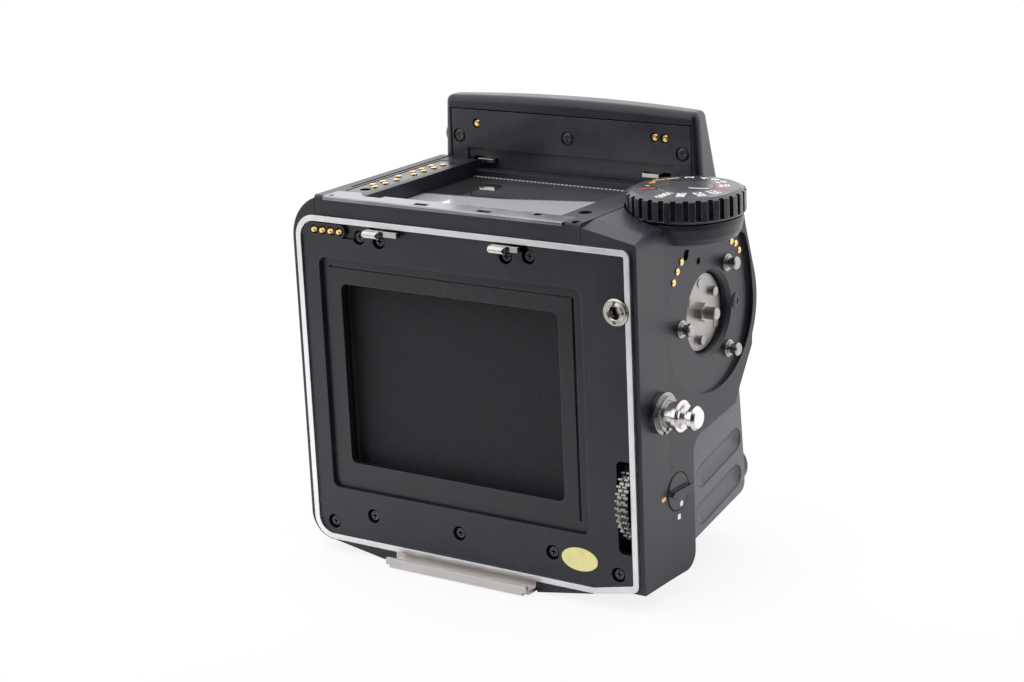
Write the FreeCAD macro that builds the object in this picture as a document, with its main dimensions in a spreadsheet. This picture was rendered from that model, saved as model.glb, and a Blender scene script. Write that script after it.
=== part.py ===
import FreeCAD, Part
import math
import os
import Sketcher
from FreeCAD import Placement, Rotation, Vector

# A medium format film camera body: film back, finder, winder and lens are taken off.
# Own frame in millimetres: +Z up, +Y towards the film back, -Y towards the lens and -X the
# winding side. The origin is the mouth of the tripod socket, under the lens axis.

SIZES = [
    # Outer body
    ("left_face", 43.8, "left side face, from the middle plane"),
    ("right_face", 48.8, "winding side face, from the middle plane"),
    ("left_seam", 36.8, "seam of the left end cap"),
    ("right_seam", 35.3, "seam of the right housing"),
    ("housing_back", 27.2, "rear edge of the housings"),
    ("side_front", 21.0, "front face of the end cap and of the base, ahead of the middle"),
    ("deck_top", 86.1, "upper face of the top plate"),
    ("deck_thick", 4.5, "top plate"),
    ("wall_thick", 2.0, "moulded walls"),
    ("base_thick", 2.8, "base plate"),
    ("fit_gap", 0.05, "gap between pieces that are fixed together"),
    ("run_gap", 0.3, "gap beside a piece that moves"),
    # Rim, rear plate and gate
    ("rim_left", 42.35, "left edge of the bright rim"),
    ("rim_right", 47.5, "right edge of the bright rim"),
    ("rim_bottom", 2.9, "bottom edge of the rim"),
    ("rim_top", 81.5, "top edge of the rim"),
    ("rim_band", 1.35, "width of the rim band"),
    ("rim_bend", 35.8, "where the bottom edge of the rim starts to climb"),
    ("rim_climb", 2.2, "climb of the rim's bottom edge at the right corner"),
    ("rim_face", 28.0, "rear face of the rim"),
    ("rim_seat", 25.3, "front face of the rim and of the rear plate"),
    ("rim_round", 5.4, "left corners of the rim"),
    ("rim_round_small", 1.8, "right corners of the rim"),
    ("plate_face", 27.5, "rear face of the rear plate"),
    ("casting_front", 22.4, "front face of the rear casting"),
    ("step_left", 36.45, "outer step round the gate, left"),
    ("step_right", 34.9, "outer step round the gate, right"),
    ("step_bottom", 16.0, "outer step round the gate, bottom"),
    ("step_top", 71.75, "outer step round the gate, top"),
    ("step_round", 1.8, "corners of the outer step"),
    ("gate_face", 26.45, "rear face of the gate frame"),
    ("gate_groove", 0.45, "depth of the gate frame's grooves"),
    ("gate_wide", 59.4, "width of the opening that shows the curtain"),
    ("gate_high", 43.2, "height of the opening"),
    ("gate_round", 1.6, "corners of the opening"),
    ("gate_x", 1.6, "middle of the opening, left of the lens axis"),
    ("gate_z", 44.0, "height of the middle of the opening"),
    ("axis_height", 44.6, "height of the lens axis"),
    # Shutter
    ("curtain_y", 21.9, "front face of the curtain"),
    ("curtain_thick", 0.4, "rubberised cloth"),
    ("curtain_half", 31.8, "half width of the curtain"),
    ("roller_radius", 3.9, "curtain rollers"),
    ("roller_low", 14.5, "height of the lower roller"),
    ("roller_high", 73.6, "height of the upper roller"),
    ("roller_long", 64.2, "length of the rollers"),
    ("roller_pin", 1.0, "radius of the roller journals"),
    ("shutter_front", 12.2, "front edge of the shutter's side plates"),
    ("shutter_low", 8.0, "bottom of the side plates"),
    ("shutter_tall", 70.4, "height of the side plates"),
    # Mirror box and mirror
    ("box_front", 23.0, "front edge of the mirror box, ahead of the middle"),
    ("box_back", 11.8, "rear edge of the mirror box"),
    ("box_low", 16.2, "underside of the mirror box"),
    ("box_high", 81.5, "top of the mirror box"),
    ("hinge_y", 16.3, "mirror hinge behind the middle"),
    ("hinge_z", 66.2, "height of the mirror hinge"),
    ("hinge_radius", 1.0, "mirror hinge pin"),
    ("mirror_long", 42.0, "length of the mirror from its hinge"),
    ("mirror_half", 27.0, "half width of the mirror at the hinge"),
    ("mirror_tip_half", 14.0, "half width of the mirror at its free end"),
    ("mirror_thick", 1.2, "mirror glass"),
    ("holder_thick", 1.0, "mirror holder"),
    # Finder well
    ("well_left", 24.85, "left edge of the finder well"),
    ("well_right", 27.2, "right edge of the finder well"),
    ("well_back", 22.4, "rear edge of the finder well"),
    ("well_front", 18.9, "front edge of the finder well, ahead of the middle"),
    ("screen_top", 82.4, "upper face of the focusing screen"),
    ("screen_thick", 1.8, "focusing screen"),
    ("frame_low", 79.2, "underside of the screen frame"),
    ("frame_half", 29.7, "half width of the screen frame"),
    ("strip_thick", 0.4, "sheet metal strip behind the well"),
    # Hood
    ("hood_back", 22.4, "rear plane of the hood, ahead of the middle"),
    ("hood_top", 101.8, "top of the hood"),
    ("hood_corner", 100.9, "height of the hood at its sides"),
    ("hood_front_low", 34.0, "front of the hood at its foot"),
    ("hood_front_high", 28.5, "front of the hood at its top"),
    ("hood_plate_half", 33.4, "half width of the hood plate"),
    ("hood_plate_top", 97.8, "top of the hood plate"),
    ("hood_plate_thick", 1.4, "hood plate"),
    ("hood_step_top", 88.4, "top of the lower field"),
    ("catch_inner", 20.6, "inner end of the catch slots"),
    ("catch_outer", 27.6, "outer end of the catch slots"),
    ("catch_low", 85.2, "bottom of the catch slots"),
    ("catch_tall", 1.2, "height of the catch slots"),
    ("catch_travel", 2.0, "travel of the finder catches"),
    # Right housing
    ("flare_start", 16.0, "where the winding side starts to flare"),
    ("flare_out", 50.1, "winding side at its front end"),
    ("side_nose", 24.0, "front end of the flare, ahead of the middle"),
    ("side_wall", 4.6, "wall of the winding side"),
    ("side_low", 4.4, "bottom edge of the winding side"),
    ("shoulder_drop", 2.6, "fall of the top from the seam to the side face"),
    ("shoulder_round", 2.6, "rounding between the shoulder and the side face"),
    ("bevel_start", 21.5, "where the rear bevel of the shoulder starts"),
    ("bevel_drop", 0.8, "fall of the bevel to the rear edge"),
    ("nose_radius", 19.5, "round front of the housing, round the dish"),
    ("dish_y", -2.65, "centre of the coupling dish"),
    ("dish_z", 60.8, "height of the coupling dish"),
    ("dish_radius", 17.9, "coupling dish"),
    ("grip_edge", 6.0, "rear edge of the finger grip"),
    ("grip_sink", 2.2, "depth of the finger grip under the side face"),
    ("grip_top", 33.4, "top of the finger grip at its rear edge"),
    ("groove_sink", 1.3, "depth of the finger grooves"),
    # Dial
    ("dial_x", 46.0, "speed dial, from the middle plane towards the winding side"),
    ("dial_y", 1.5, "speed dial behind the middle"),
    ("dial_radius", 13.05, "speed dial"),
    ("dial_low", 84.2, "underside of the dial"),
    ("dial_thick", 5.5, "speed dial"),
    ("dial_ribs", 30, "grip ribs round the dial"),
    ("rib_depth", 1.1, "depth of the gaps between the ribs"),
    ("rib_gap", 1.35, "width of the gaps between the ribs"),
    ("button_radius", 6.2, "lock button in the dial"),
    ("button_proud", 0.15, "lock button above the dial"),
    ("button_travel", 0.9, "travel of the lock button"),
    ("dial_shaft_radius", 2.5, "dial shaft"),
    ("turret_radius", 12.5, "round turret under the dial"),
    ("turret_low", 78.9, "foot of the turret"),
    # Winding gears
    ("coupling_radius", 8.9, "coupling disc"),
    ("coupling_face", 46.7, "outer face of the coupling disc"),
    ("coupling_hole", 9.15, "hole in the housing round the disc"),
    ("disc_thick", 1.2, "coupling disc"),
    ("shaft_radius", 1.5, "gear shafts"),
    ("hex_flats", 3.8, "hexagon on the coupling shaft"),
    ("hex_long", 1.4, "hexagon"),
    ("drive_radius", 1.4, "round drive end"),
    ("drive_long", 4.2, "drive end beyond the disc"),
    ("tooth_module", 0.5, "module of the gears"),
    ("coupling_teeth", 40, "coupling gear"),
    ("idler_teeth", 45, "idler gear"),
    ("film_teeth", 42, "film wind gear"),
    ("gear_wide", 1.1, "width of one toothed ring"),
    ("gear_in", 42.8, "inner face of the toothed rings"),
    ("film_y", 18.4, "axis of the film wind gear"),
    ("film_z", 24.5, "height of the film wind gear"),
    ("slot_in", 42.4, "inner edge of the gear slot"),
    ("slot_out", 45.7, "outer edge of the gear slot"),
    ("slot_low", 13.2, "bottom of the gear slot"),
    ("slot_high", 34.6, "top of the gear slot"),
    # Mount
    ("mount_face", 29.5, "lens flange, ahead of the middle"),
    ("mount_outer", 33.0, "lens mount ring"),
    ("front_face", 26.0, "front face of the front housing"),
    ("ring_thick", 1.4, "lens mount ring"),
    # Small parts
    ("socket_radius", 3.175, "tripod socket, quarter inch thread"),
    ("socket_deep", 7.0, "tripod socket"),
    ("socket_flange", 6.4, "flange of the tripod socket"),
    ("lever_y", 12.7, "multi-exposure lever"),
    ("lever_z", 24.0, "height of the multi-exposure lever"),
    ("lever_radius", 4.3, "multi-exposure lever's disc"),
    ("strap_y", 19.3, "strap stud"),
    ("strap_z", 44.0, "height of the strap stud"),
    ("bush_x", 43.9, "slotted bush"),
    ("bush_z", 67.9, "height of the slotted bush"),
    ("bush_radius", 3.06, "slotted bush"),
    ("bracket_left", 19.1, "left end of the film back bracket"),
    ("bracket_right", 20.0, "right end of the film back bracket"),
    ("bracket_back", 31.4, "rear face of the bracket's lip"),
    ("bracket_sheet", 0.8, "sheet of the bracket"),
    ("door_x", 15.0, "middle of the battery door"),
    ("door_half", 7.6, "half width of the battery door"),
    ("door_back", 12.0, "hinge end of the battery door"),
    ("door_front", 17.0, "free end of the battery door, ahead of the middle"),
    ("battery_radius", 6.5, "battery"),
    ("battery_long", 25.2, "battery"),
    ("release_x", 41.0, "shutter release, towards the winding side"),
    ("release_z", 18.2, "height of the shutter release"),
    ("gold_radius", 0.95, "contact heads"),
]


class Size:
    """A length with its number and the formula that the document keeps for it."""

    def __init__(self, number, text):
        self.number = number
        self.text = text

    def _join(self, other, sign, number):
        other = as_size(other)
        return Size(number(self.number, other.number), "(" + self.text + sign + other.text + ")")

    def __add__(self, other):
        return self._join(other, " + ", lambda a, b: a + b)

    def __sub__(self, other):
        return self._join(other, " - ", lambda a, b: a - b)

    def __mul__(self, other):
        return self._join(other, " * ", lambda a, b: a * b)

    def __truediv__(self, other):
        return self._join(other, " / ", lambda a, b: a / b)

    def __radd__(self, other):
        return as_size(other) + self

    def __rsub__(self, other):
        return as_size(other) - self

    def __rmul__(self, other):
        return as_size(other) * self

    def __neg__(self):
        return Size(-self.number, "(-" + self.text + ")")

    def __float__(self):
        return float(self.number)


def as_size(value):
    """Plain numbers join formulas as they are."""
    return value if isinstance(value, Size) else Size(float(value), repr(float(value)))


def root(value):
    """Square root of a size."""
    return Size(math.sqrt(value.number), "sqrt(" + value.text + ")")


doc = FreeCAD.newDocument("film_camera")
sheet = doc.addObject("Spreadsheet::Sheet", "Sizes")
for row, (alias, number, meaning) in enumerate(SIZES, start=1):
    sheet.set("A%d" % row, meaning)
    sheet.set("B%d" % row, str(number))
    sheet.setAlias("B%d" % row, alias)
doc.recompute()


class Named:
    """Every size of the sheet as an attribute."""


d = Named()
for alias, number, meaning in SIZES:
    setattr(d, alias, Size(float(getattr(sheet, alias)), "Sizes." + alias))
d.box_half = d.right_seam - 3.3
d.hood_half = d.hood_plate_half + 2.1
d.hood_step_half = d.hood_plate_half - 4.4
d.throat_radius = d.mount_outer - 5.5
d.boss_radius = d.mount_outer + 3

PARTS = []
ALONG = {
    "X": Rotation(Vector(0, 1, 0), 90),
    "-X": Rotation(Vector(0, 1, 0), -90),
    "Y": Rotation(Vector(1, 0, 0), -90),
    "-Y": Rotation(Vector(1, 0, 0), 90),
    "Z": Rotation(),
    "-Z": Rotation(Vector(1, 0, 0), 180),
}


def part(name, obj):
    """Hand over an object as one of the camera's pieces."""
    obj.Label = name
    PARTS.append(obj)
    return obj


def bind(obj, **sizes):
    """Tie properties of an object to their formulas."""
    for prop, size in sizes.items():
        obj.setExpression(prop, as_size(size).text)


def place(obj, at, turn=None):
    """Put an object at a point given by sizes, turned by a fixed rotation."""
    if turn is not None:
        obj.Placement = Placement(Vector(*[float(size) for size in at]), turn)
    for axis, size in zip("xyz", at):
        obj.setExpression("Placement.Base." + axis, as_size(size).text)
    return obj


def slab(x, y, z):
    """Box between pairs of sizes along each axis, low one first."""
    obj = doc.addObject("Part::Box", "slab")
    low = [as_size(pair[0]) for pair in (x, y, z)]
    high = [as_size(pair[1]) for pair in (x, y, z)]
    bind(obj, Length=high[0] - low[0], Width=high[1] - low[1], Height=high[2] - low[2])
    return place(obj, low)


def rod(direction, at, radius, length):
    """Cylinder from a point along a named direction."""
    obj = doc.addObject("Part::Cylinder", "rod")
    bind(obj, Radius=radius, Height=length)
    return place(obj, at, ALONG[direction])


def taper(direction, at, radius, end_radius, length):
    """Cone from a point along a named direction."""
    obj = doc.addObject("Part::Cone", "taper")
    bind(obj, Radius1=radius, Radius2=end_radius, Height=length)
    return place(obj, at, ALONG[direction])


def joined(*shapes):
    """One solid from several that touch or overlap."""
    if len(shapes) == 1:
        return shapes[0]
    obj = doc.addObject("Part::MultiFuse", "joined")
    obj.Shapes = list(shapes)
    obj.Refine = True
    return obj


def cut(base, *tools):
    """Base without the tools."""
    obj = doc.addObject("Part::Cut", "cut")
    obj.Base = base
    obj.Tool = joined(*tools)
    obj.Refine = True
    return obj


def common(one, other):
    """What two solids share."""
    obj = doc.addObject("Part::Common", "common")
    obj.Base = one
    obj.Tool = other
    obj.Refine = True
    return obj


def group(*shapes):
    """Several separate solids in one piece list."""
    obj = doc.addObject("Part::Compound", "group")
    obj.Links = list(shapes)
    return obj


def origin_plane(body, role):
    """A body's own origin plane or axis."""
    return [item for item in body.Origin.OriginFeatures if item.Role == role][0]


def sketch_on(body, plane, start, points):
    """Closed outline on an origin plane, moved along its normal by start.

    A point is a pair of sizes. A third value is the radius of the arc to the next point:
    positive when it bulges to the right of the way from point to point, negative to the left.
    """
    sketch = body.newObject("Sketcher::SketchObject", "outline")
    sketch.AttachmentSupport = [(origin_plane(body, plane + "_Plane"), "")]
    sketch.MapMode = "FlatFace"
    bind(sketch, **{"AttachmentOffset.Base.z": start})
    flat = [Vector(float(point[0]), float(point[1]), 0) for point in points]
    count = len(points)
    for index, point in enumerate(points):
        here = flat[index]
        there = flat[(index + 1) % count]
        if len(point) > 2:
            sketch.addGeometry(arc_between(here, there, float(point[2])), False)
        else:
            sketch.addGeometry(Part.LineSegment(here, there), False)
    ends = []
    for index, point in enumerate(points):
        backwards = len(point) > 2 and float(point[2]) < 0
        ends.append((2, 1) if backwards else (1, 2))
    for index, point in enumerate(points):
        after = (index + 1) % count
        sketch.addConstraint(
            Sketcher.Constraint("Coincident", index, ends[index][1], after, ends[after][0]))
        for kind, size in (("DistanceX", as_size(point[0])), ("DistanceY", as_size(point[1]))):
            pin_point(sketch, kind, index, ends[index][0], size)
        if len(point) > 2:
            radius = as_size(point[2])
            radius = -radius if radius.number < 0 else radius
            name = sketch.addConstraint(Sketcher.Constraint("Radius", index, radius.number))
            sketch.setExpression("Constraints[%d]" % name, radius.text)
    return sketch


def pin_point(sketch, kind, edge, end, size):
    """Hold one coordinate of an edge's end."""
    if size.number == 0:
        axis = -2 if kind == "DistanceX" else -1
        sketch.addConstraint(Sketcher.Constraint("PointOnObject", edge, end, axis))
        return
    number = sketch.addConstraint(Sketcher.Constraint(kind, -1, 1, edge, end, size.number))
    sketch.setExpression("Constraints[%d]" % number, size.text)


def arc_between(start, end, radius):
    """Arc through two points. A positive radius runs counter-clockwise, a negative clockwise."""
    middle = (start + end) * 0.5
    across = end - start
    reach = math.sqrt(max(radius * radius - across.Length ** 2 / 4, 0))
    side = Vector(-across.y, across.x, 0).normalize()
    centre = middle + side * (reach if radius > 0 else -reach)
    first, last = (start, end) if radius > 0 else (end, start)
    circle = Part.Circle(centre, Vector(0, 0, 1), abs(radius))
    return Part.ArcOfCircle(
        circle,
        math.atan2(first.y - centre.y, first.x - centre.x),
        math.atan2(last.y - centre.y, last.x - centre.x))


def padded(plane, start, length, points, rounds=()):
    """Body made of one padded outline. A pad on XZ grows towards -Y, on YZ towards +X.

    rounds holds (radius, chooser) pairs: the chooser picks edges that get this radius.
    """
    body = doc.addObject("PartDesign::Body", "body")
    sketch = sketch_on(body, plane, start, points)
    last = body.newObject("PartDesign::Pad", "pad")
    last.Profile = sketch
    bind(last, Length=length)
    for radius, chooser in rounds:
        doc.recompute()
        names = edges_where(last.Shape, chooser)
        fillet = body.newObject("PartDesign::Fillet", "round")
        fillet.Base = (last, names)
        bind(fillet, Radius=radius)
        last = fillet
    return body


def turned(direction, at, points):
    """Body turned round its axis: points are (radius, distance along the axis)."""
    body = doc.addObject("PartDesign::Body", "turned")
    sketch = sketch_on(body, "XZ", 0, points)
    last = body.newObject("PartDesign::Revolution", "revolution")
    last.Profile = sketch
    last.ReferenceAxis = (sketch, ["V_Axis"])
    last.Angle = 360
    return place(body, at, ALONG[direction])


def edges_where(shape, chooser):
    """Names of the edges that the chooser accepts by their middle point and direction."""
    names = []
    for index, edge in enumerate(shape.Edges, start=1):
        middle = edge.valueAt((edge.FirstParameter + edge.LastParameter) / 2)
        way = edge.tangentAt((edge.FirstParameter + edge.LastParameter) / 2)
        if chooser(middle, way, edge):
            names.append("Edge%d" % index)
    return names


def softened(base, radius, chooser):
    """Fillet on chosen edges of a finished solid."""
    doc.recompute()
    obj = doc.addObject("Part::Fillet", "softened")
    obj.Base = base
    names = edges_where(base.Shape, chooser)
    obj.Edges = [(int(name[4:]), float(radius), float(radius)) for name in names]
    return obj


def rear_outline(inset, back, front):
    """Block in the outline of the rear rim, moved inwards by inset, between two planes."""
    left = d.rim_left - inset
    right = d.rim_right - inset
    top = d.rim_top - inset
    low = d.rim_bottom + inset
    corner = low + d.rim_climb
    large = d.rim_round - inset
    small = as_size(max(float(d.rim_round_small - inset), 0.3))
    if float(d.rim_round_small - inset) > 0.3:
        small = d.rim_round_small - inset
    points = [(left, low), (left, top), (-right, top), (-right, corner), (-d.rim_bend, low)]
    rounds = [
        (large, lambda m, w, e: abs(w.y) > 0.99 and m.x > 0),
        (small, lambda m, w, e: abs(w.y) > 0.99 and m.x < -float(d.rim_bend) - 3),
    ]
    return padded("XZ", -back, back - front, points, rounds)


def screw(direction, at, radius, head, slot_turn=0):
    """Cross-head screw: its head stands on a point and its shank goes the other way."""
    back = {"Y": (0, -1, 0), "-Y": (0, 1, 0), "-X": (1, 0, 0), "-Z": (0, 0, 1)}[direction]
    cap = turned(direction, at, [
        (0, 0), (0, head), (radius * 0.7, head), (radius, head * 0.55), (radius, 0)])
    length = radius * 1.1
    wide = radius * 0.26
    base = doc.addObject("Part::Box", "slot")
    bind(base, Length=length, Width=wide, Height=head)
    base.Placement = Placement(Vector(), Rotation())
    other = doc.addObject("Part::Box", "slot")
    bind(other, Length=wide, Width=length, Height=head)
    shift = [(-length / 2, -wide / 2), (-wide / 2, -length / 2)]
    slots = []
    for box, (across, up) in zip((base, other), shift):
        turn = ALONG[direction]
        local = turn.multVec(Vector(1, 0, 0)), turn.multVec(Vector(0, 1, 0))
        way = turn.multVec(Vector(0, 0, 1))
        where = []
        for axis in range(3):
            total = as_size(at[axis])
            total = total + across * local[0][axis] + up * local[1][axis]
            where.append(total + head * 0.45 * way[axis])
        slots.append(place(box, where, turn))
    return cut(cap, *slots)


def gear(teeth, width, bore, turn_deg):
    """Toothed ring with its axis along Z, standing on its lower face."""
    module = float(d.tooth_module)
    pitch = module * float(teeth) / 2
    tip = pitch + 0.8 * module
    foot = pitch - 1.25 * module
    step = 2 * math.pi / float(teeth)
    turn = math.radians(turn_deg)
    points = []
    for tooth in range(int(round(float(teeth)))):
        angle = turn + tooth * step
        for reach, share in ((foot, -0.30), (tip, -0.12), (tip, 0.12), (foot, 0.30)):
            way = angle + share * step
            points.append(Vector(reach * math.cos(way), reach * math.sin(way), 0))
    wire = Part.makePolygon(points + [points[0]])
    ring = Part.Face(wire).extrude(Vector(0, 0, float(width)))
    return ring.cut(Part.makeCylinder(float(bore), float(width)))


def free_shape(shape, at, turn):
    """Document object for a shape that has no feature of its own."""
    obj = doc.addObject("Part::Feature", "shape")
    obj.Shape = shape
    return place(obj, at, turn)


# Right housing

def shoulder_height(x):
    """Height of the sloping shoulder at a distance from the middle plane."""
    slope = d.shoulder_drop / (d.right_face - d.right_seam)
    return d.deck_top - 0.1 - slope * (x - d.right_seam)


def tilted_block(at, normal, size):
    """Large block whose foot lies on a sloping plane through a point."""
    obj = doc.addObject("Part::Box", "tilted")
    obj.Length = size
    obj.Width = size
    obj.Height = size / 3
    turn = Rotation(Vector(0, 0, 1), normal)
    offset = turn.multVec(Vector(-size / 2, -size / 2, 0))
    where = [as_size(size_at) + offset[axis] for axis, size_at in enumerate(at)]
    return place(obj, where, turn)


def housing_profile(side_out, side_in):
    """Side view of the right housing between two planes."""
    nose_back = root(d.nose_radius * d.nose_radius - 26.0)
    nose_low = root(d.nose_radius * d.nose_radius - 81.0)
    return padded("YZ", -side_out, side_out - side_in, [
        (d.housing_back, d.side_low),
        (d.housing_back, d.deck_top + 4),
        (-16.6, d.deck_top + 4),
        (-16.8, d.deck_top - 4.1),
        (-17.9, d.deck_top - 8.7),
        (d.dish_y - nose_back, d.dish_z + 5.099, d.nose_radius),
        (d.dish_y - nose_low, d.dish_z - 9.0),
        (d.grip_edge - 25.3, d.grip_top + 7.6),
        (d.grip_edge - 27.3, d.grip_top - 14.8),
        (d.grip_edge - 27.3, d.grip_top - 17.4, 2.5),
        (d.grip_edge - 25.0, d.grip_top - 20.2),
        (d.grip_edge - 4.0, d.side_low + 4.4),
        (d.grip_edge, d.side_low + 4.0, 4.0),
        (d.grip_edge + 4.0, d.side_low),
    ])


def housing_hollow():
    """Room inside the right housing."""
    wall = d.wall_thick
    return padded("YZ", -d.right_face + d.side_wall, d.right_face - d.side_wall - d.right_seam + 0.5, [
        (d.housing_back + 1, d.side_low + wall),
        (d.housing_back + 1, d.turret_low - wall),
        (-14.0, d.turret_low - wall),
        (d.dish_y - 15.6, d.dish_z + 8),
        (d.dish_y - 15.6, d.dish_z - 9),
        (d.grip_edge - 22.8, d.grip_top + 7.6),
        (d.grip_edge - 24.6, d.grip_top - 15),
        (d.grip_edge - 23.2, d.grip_top - 17.4),
        (d.grip_edge - 2.0, d.side_low + 6.9),
        (d.grip_edge + 2.6, d.side_low + 5.0),
        (d.grip_edge + 5.4, d.side_low + wall),
    ])


def corner_cutter(slope, radius):
    """Tool that rounds the edge between the sloping shoulder and the side face."""
    hypotenuse = root(slope * slope + 1)
    centre_z = slope * radius - radius * hypotenuse
    high = (radius - radius * slope / hypotenuse, centre_z + radius / hypotenuse)
    return padded("XZ", 0, 48, [
        (0, centre_z, -radius), high, (high[0], high[1] + 6), (-6, high[1] + 6), (-6, centre_z)])


def make_right_housing():
    """Winding side: shoulder, dial turret, coupling dish and finger grip."""
    side = housing_profile(d.flare_out, d.right_seam)
    plan = padded("XY", 0, d.deck_top + 4, [
        (-d.right_seam, d.housing_back),
        (-d.right_face, d.housing_back),
        (-d.right_face, d.flare_start),
        (-d.flare_out, -d.side_nose),
        (-d.right_seam, -d.side_nose),
    ])
    shell = common(side, plan)
    slope = float(d.shoulder_drop) / (float(d.right_face) - float(d.right_seam))
    seam_point = (-d.right_seam, as_size(0), shoulder_height(d.right_seam))
    shoulder = tilted_block(seam_point, Vector(-slope, 0, 1), 120)
    fall = float(d.bevel_drop) / (float(d.housing_back) - float(d.bevel_start))
    bevel_point = (-d.right_seam, d.bevel_start, shoulder_height(d.right_seam))
    bevel = tilted_block(bevel_point, Vector(-slope, fall, 1), 120)
    foot_slope = 2.0 / (float(d.right_face) - float(d.right_seam))
    under = tilted_block((-d.right_seam, as_size(0), d.side_low - 2.0), Vector(-foot_slope, 0, -1), 120)
    shell = cut(shell, shoulder, bevel, under)
    corner = corner_cutter(d.shoulder_drop / (d.right_face - d.right_seam), d.shoulder_round)
    place(corner, (-d.right_face, d.housing_back + 1, shoulder_height(d.right_face)), Rotation())
    flare = math.degrees(math.atan2(float(d.flare_out - d.right_face),
        float(d.flare_start + d.side_nose)))
    flared = corner_cutter(d.shoulder_drop / (d.right_face - d.right_seam), d.shoulder_round)
    place(flared, (-d.right_face, d.flare_start, shoulder_height(d.right_face)),
          Rotation(Vector(0, 0, 1), -flare))
    rear_only = slab((-d.flare_out - 9, 0), (d.flare_start, d.housing_back + 2), (0, d.deck_top + 9))
    shell = cut(shell, common(corner, rear_only), flared)
    turret_at = (-d.dial_x, d.dial_y, d.turret_low)
    turret = turned("Z", turret_at, [
        (0, 0), (d.turret_radius - 3.0, 0), (d.turret_radius - 1.2, 0.5),
        (d.turret_radius - 0.5, 1.8), (d.turret_radius, d.dial_low - d.turret_low - 1.4),
        (d.turret_radius, d.dial_low - d.turret_low - d.run_gap),
        (0, d.dial_low - d.turret_low - d.run_gap)])
    beyond_seam = slab((-d.right_seam, 0), (-30, 30), (0, d.deck_top + 9))
    return joined(shell, cut(turret, beyond_seam)), housing_hollow()


def side_point(along, up, deep=0):
    """Point of the winding side face, deep inside or outside it."""
    return (-d.right_face + deep, along, up)


def trough(start, end, radius, depth, floor):
    """Shallow round trough in the side with soft ends, between two (Y, Z) points."""
    run = [float(end[0]) - float(start[0]), float(end[1]) - float(start[1])]
    centre_x = floor - radius + depth
    bar = doc.addObject("Part::Cylinder", "trough")
    bind(bar, Radius=radius, Height=math.hypot(*run))
    place(bar, (centre_x, start[0], start[1]), Rotation(Vector(0, 0, 1), Vector(0, *run)))
    balls = []
    for point in (start, end):
        ball = doc.addObject("Part::Sphere", "trough_end")
        bind(ball, Radius=radius)
        balls.append(place(ball, (centre_x, point[0], point[1])))
    return joined(bar, *balls)


def distance(one, other):
    """Distance between two axes of the winding side."""
    return root((one[0] - other[0]) * (one[0] - other[0]) + (one[1] - other[1]) * (one[1] - other[1]))


# The idler meshes with both other gears: its axis is worked out from the three pitch circles.
coupling_axis = (d.dish_y, d.dish_z)
film_axis = (d.film_y, d.film_z)
play = 0.12
reach_a = (d.coupling_teeth + d.idler_teeth) * d.tooth_module / 2 + play
reach_b = (d.film_teeth + d.idler_teeth) * d.tooth_module / 2 + play
span = distance(coupling_axis, film_axis)
foot_at = (span * span + reach_a * reach_a - reach_b * reach_b) / (span * 2)
rise = root(reach_a * reach_a - foot_at * foot_at)
way_y = (d.film_y - d.dish_y) / span
way_z = (d.film_z - d.dish_z) / span
idler_axis = (d.dish_y + foot_at * way_y - rise * way_z, d.dish_z + foot_at * way_z + rise * way_y)
idler_reach = d.tooth_module * (d.idler_teeth / 2 + 0.8)


housing, hollow = make_right_housing()
dial_axis = (-d.dial_x, d.dial_y)
pocket = rod("Z", (*dial_axis, d.dial_low - d.run_gap), d.dial_radius + d.run_gap + 0.1, 12)
shaft_hole = rod("Z", (*dial_axis, d.turret_low - 1), d.dial_shaft_radius + 0.06, 10)
dish = rod("-X", (-d.right_face, d.dish_y, d.dish_z), d.dish_radius, 6)
contact_bay = padded("YZ", -d.right_face - 6, 6, [
    (d.dish_y - 17.6, d.dish_z + 3.4), (d.dish_y - 17.0, d.dish_z + 8.0),
    (d.dish_y - 15.8, d.dish_z + 12.2),
    (d.dish_y - 14.6, d.dish_z + 15.0), (d.dish_y - 10.0, d.dish_z + 17.2),
    (d.dish_y - 6.0, d.dish_z + 15.0),
    (d.dish_y - 6.0, d.dish_z + 3.4)])
coupling_bore = rod("X", (-d.flare_out, *coupling_axis), d.coupling_hole, 12)
coupling_bevel = taper("X", (-d.right_face, *coupling_axis), d.coupling_hole + 0.8, d.coupling_hole, 0.8)
grip_floor = -d.right_face + d.grip_sink
grip_cut = padded("YZ", grip_floor - 8, 8, [
    (d.grip_edge, 0), (d.grip_edge, d.grip_top - 2.2, 4.5), (d.grip_edge - 2.8, d.grip_top + 1.2),
    (d.grip_edge - 11.4, d.grip_top + 2.8), (d.grip_edge - 18.2, d.grip_top + 4.0),
    (d.grip_edge - 19.8, d.grip_top + 7.0), (d.grip_edge - 26.3, d.grip_top + 16.8),
    (d.grip_edge - 36.0, d.grip_top + 16.8), (d.grip_edge - 36.0, 0)])
upper_groove = trough((d.grip_edge - 8.0, d.grip_top - 10.5), (d.grip_edge - 23.0, d.grip_top - 6.7),
                      as_size(3.45), d.groove_sink, grip_floor)
lower_groove = trough((d.grip_edge - 7.7, d.grip_top - 19.3), (d.grip_edge - 22.9, d.grip_top - 15.5),
                      as_size(3.45), d.groove_sink, grip_floor)
film_room = rod("X", (-d.slot_out - 0.4, *film_axis), d.tooth_module * (d.film_teeth / 2 + 1) + 0.7, 8)
lever_hole = rod("X", (-d.right_face - 1, d.lever_y, d.lever_z), d.lever_radius + 0.15, 1.9)
lever_bore = rod("X", (-d.right_face, d.lever_y, d.lever_z), 1.56, 6)
strap_bore = rod("X", (-d.right_face - 1, d.strap_y, d.strap_z), as_size(1.55), 8)
sensor_hole = rod("X", (-d.right_face - 1, d.dish_y + 9.7, d.dish_z + 15.3), as_size(1.3), 1.8)
peg_hole = rod("X", (-d.right_face - 1, d.dish_y + 4.25, d.dish_z + 12.8), as_size(0.8), 1.5)
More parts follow.
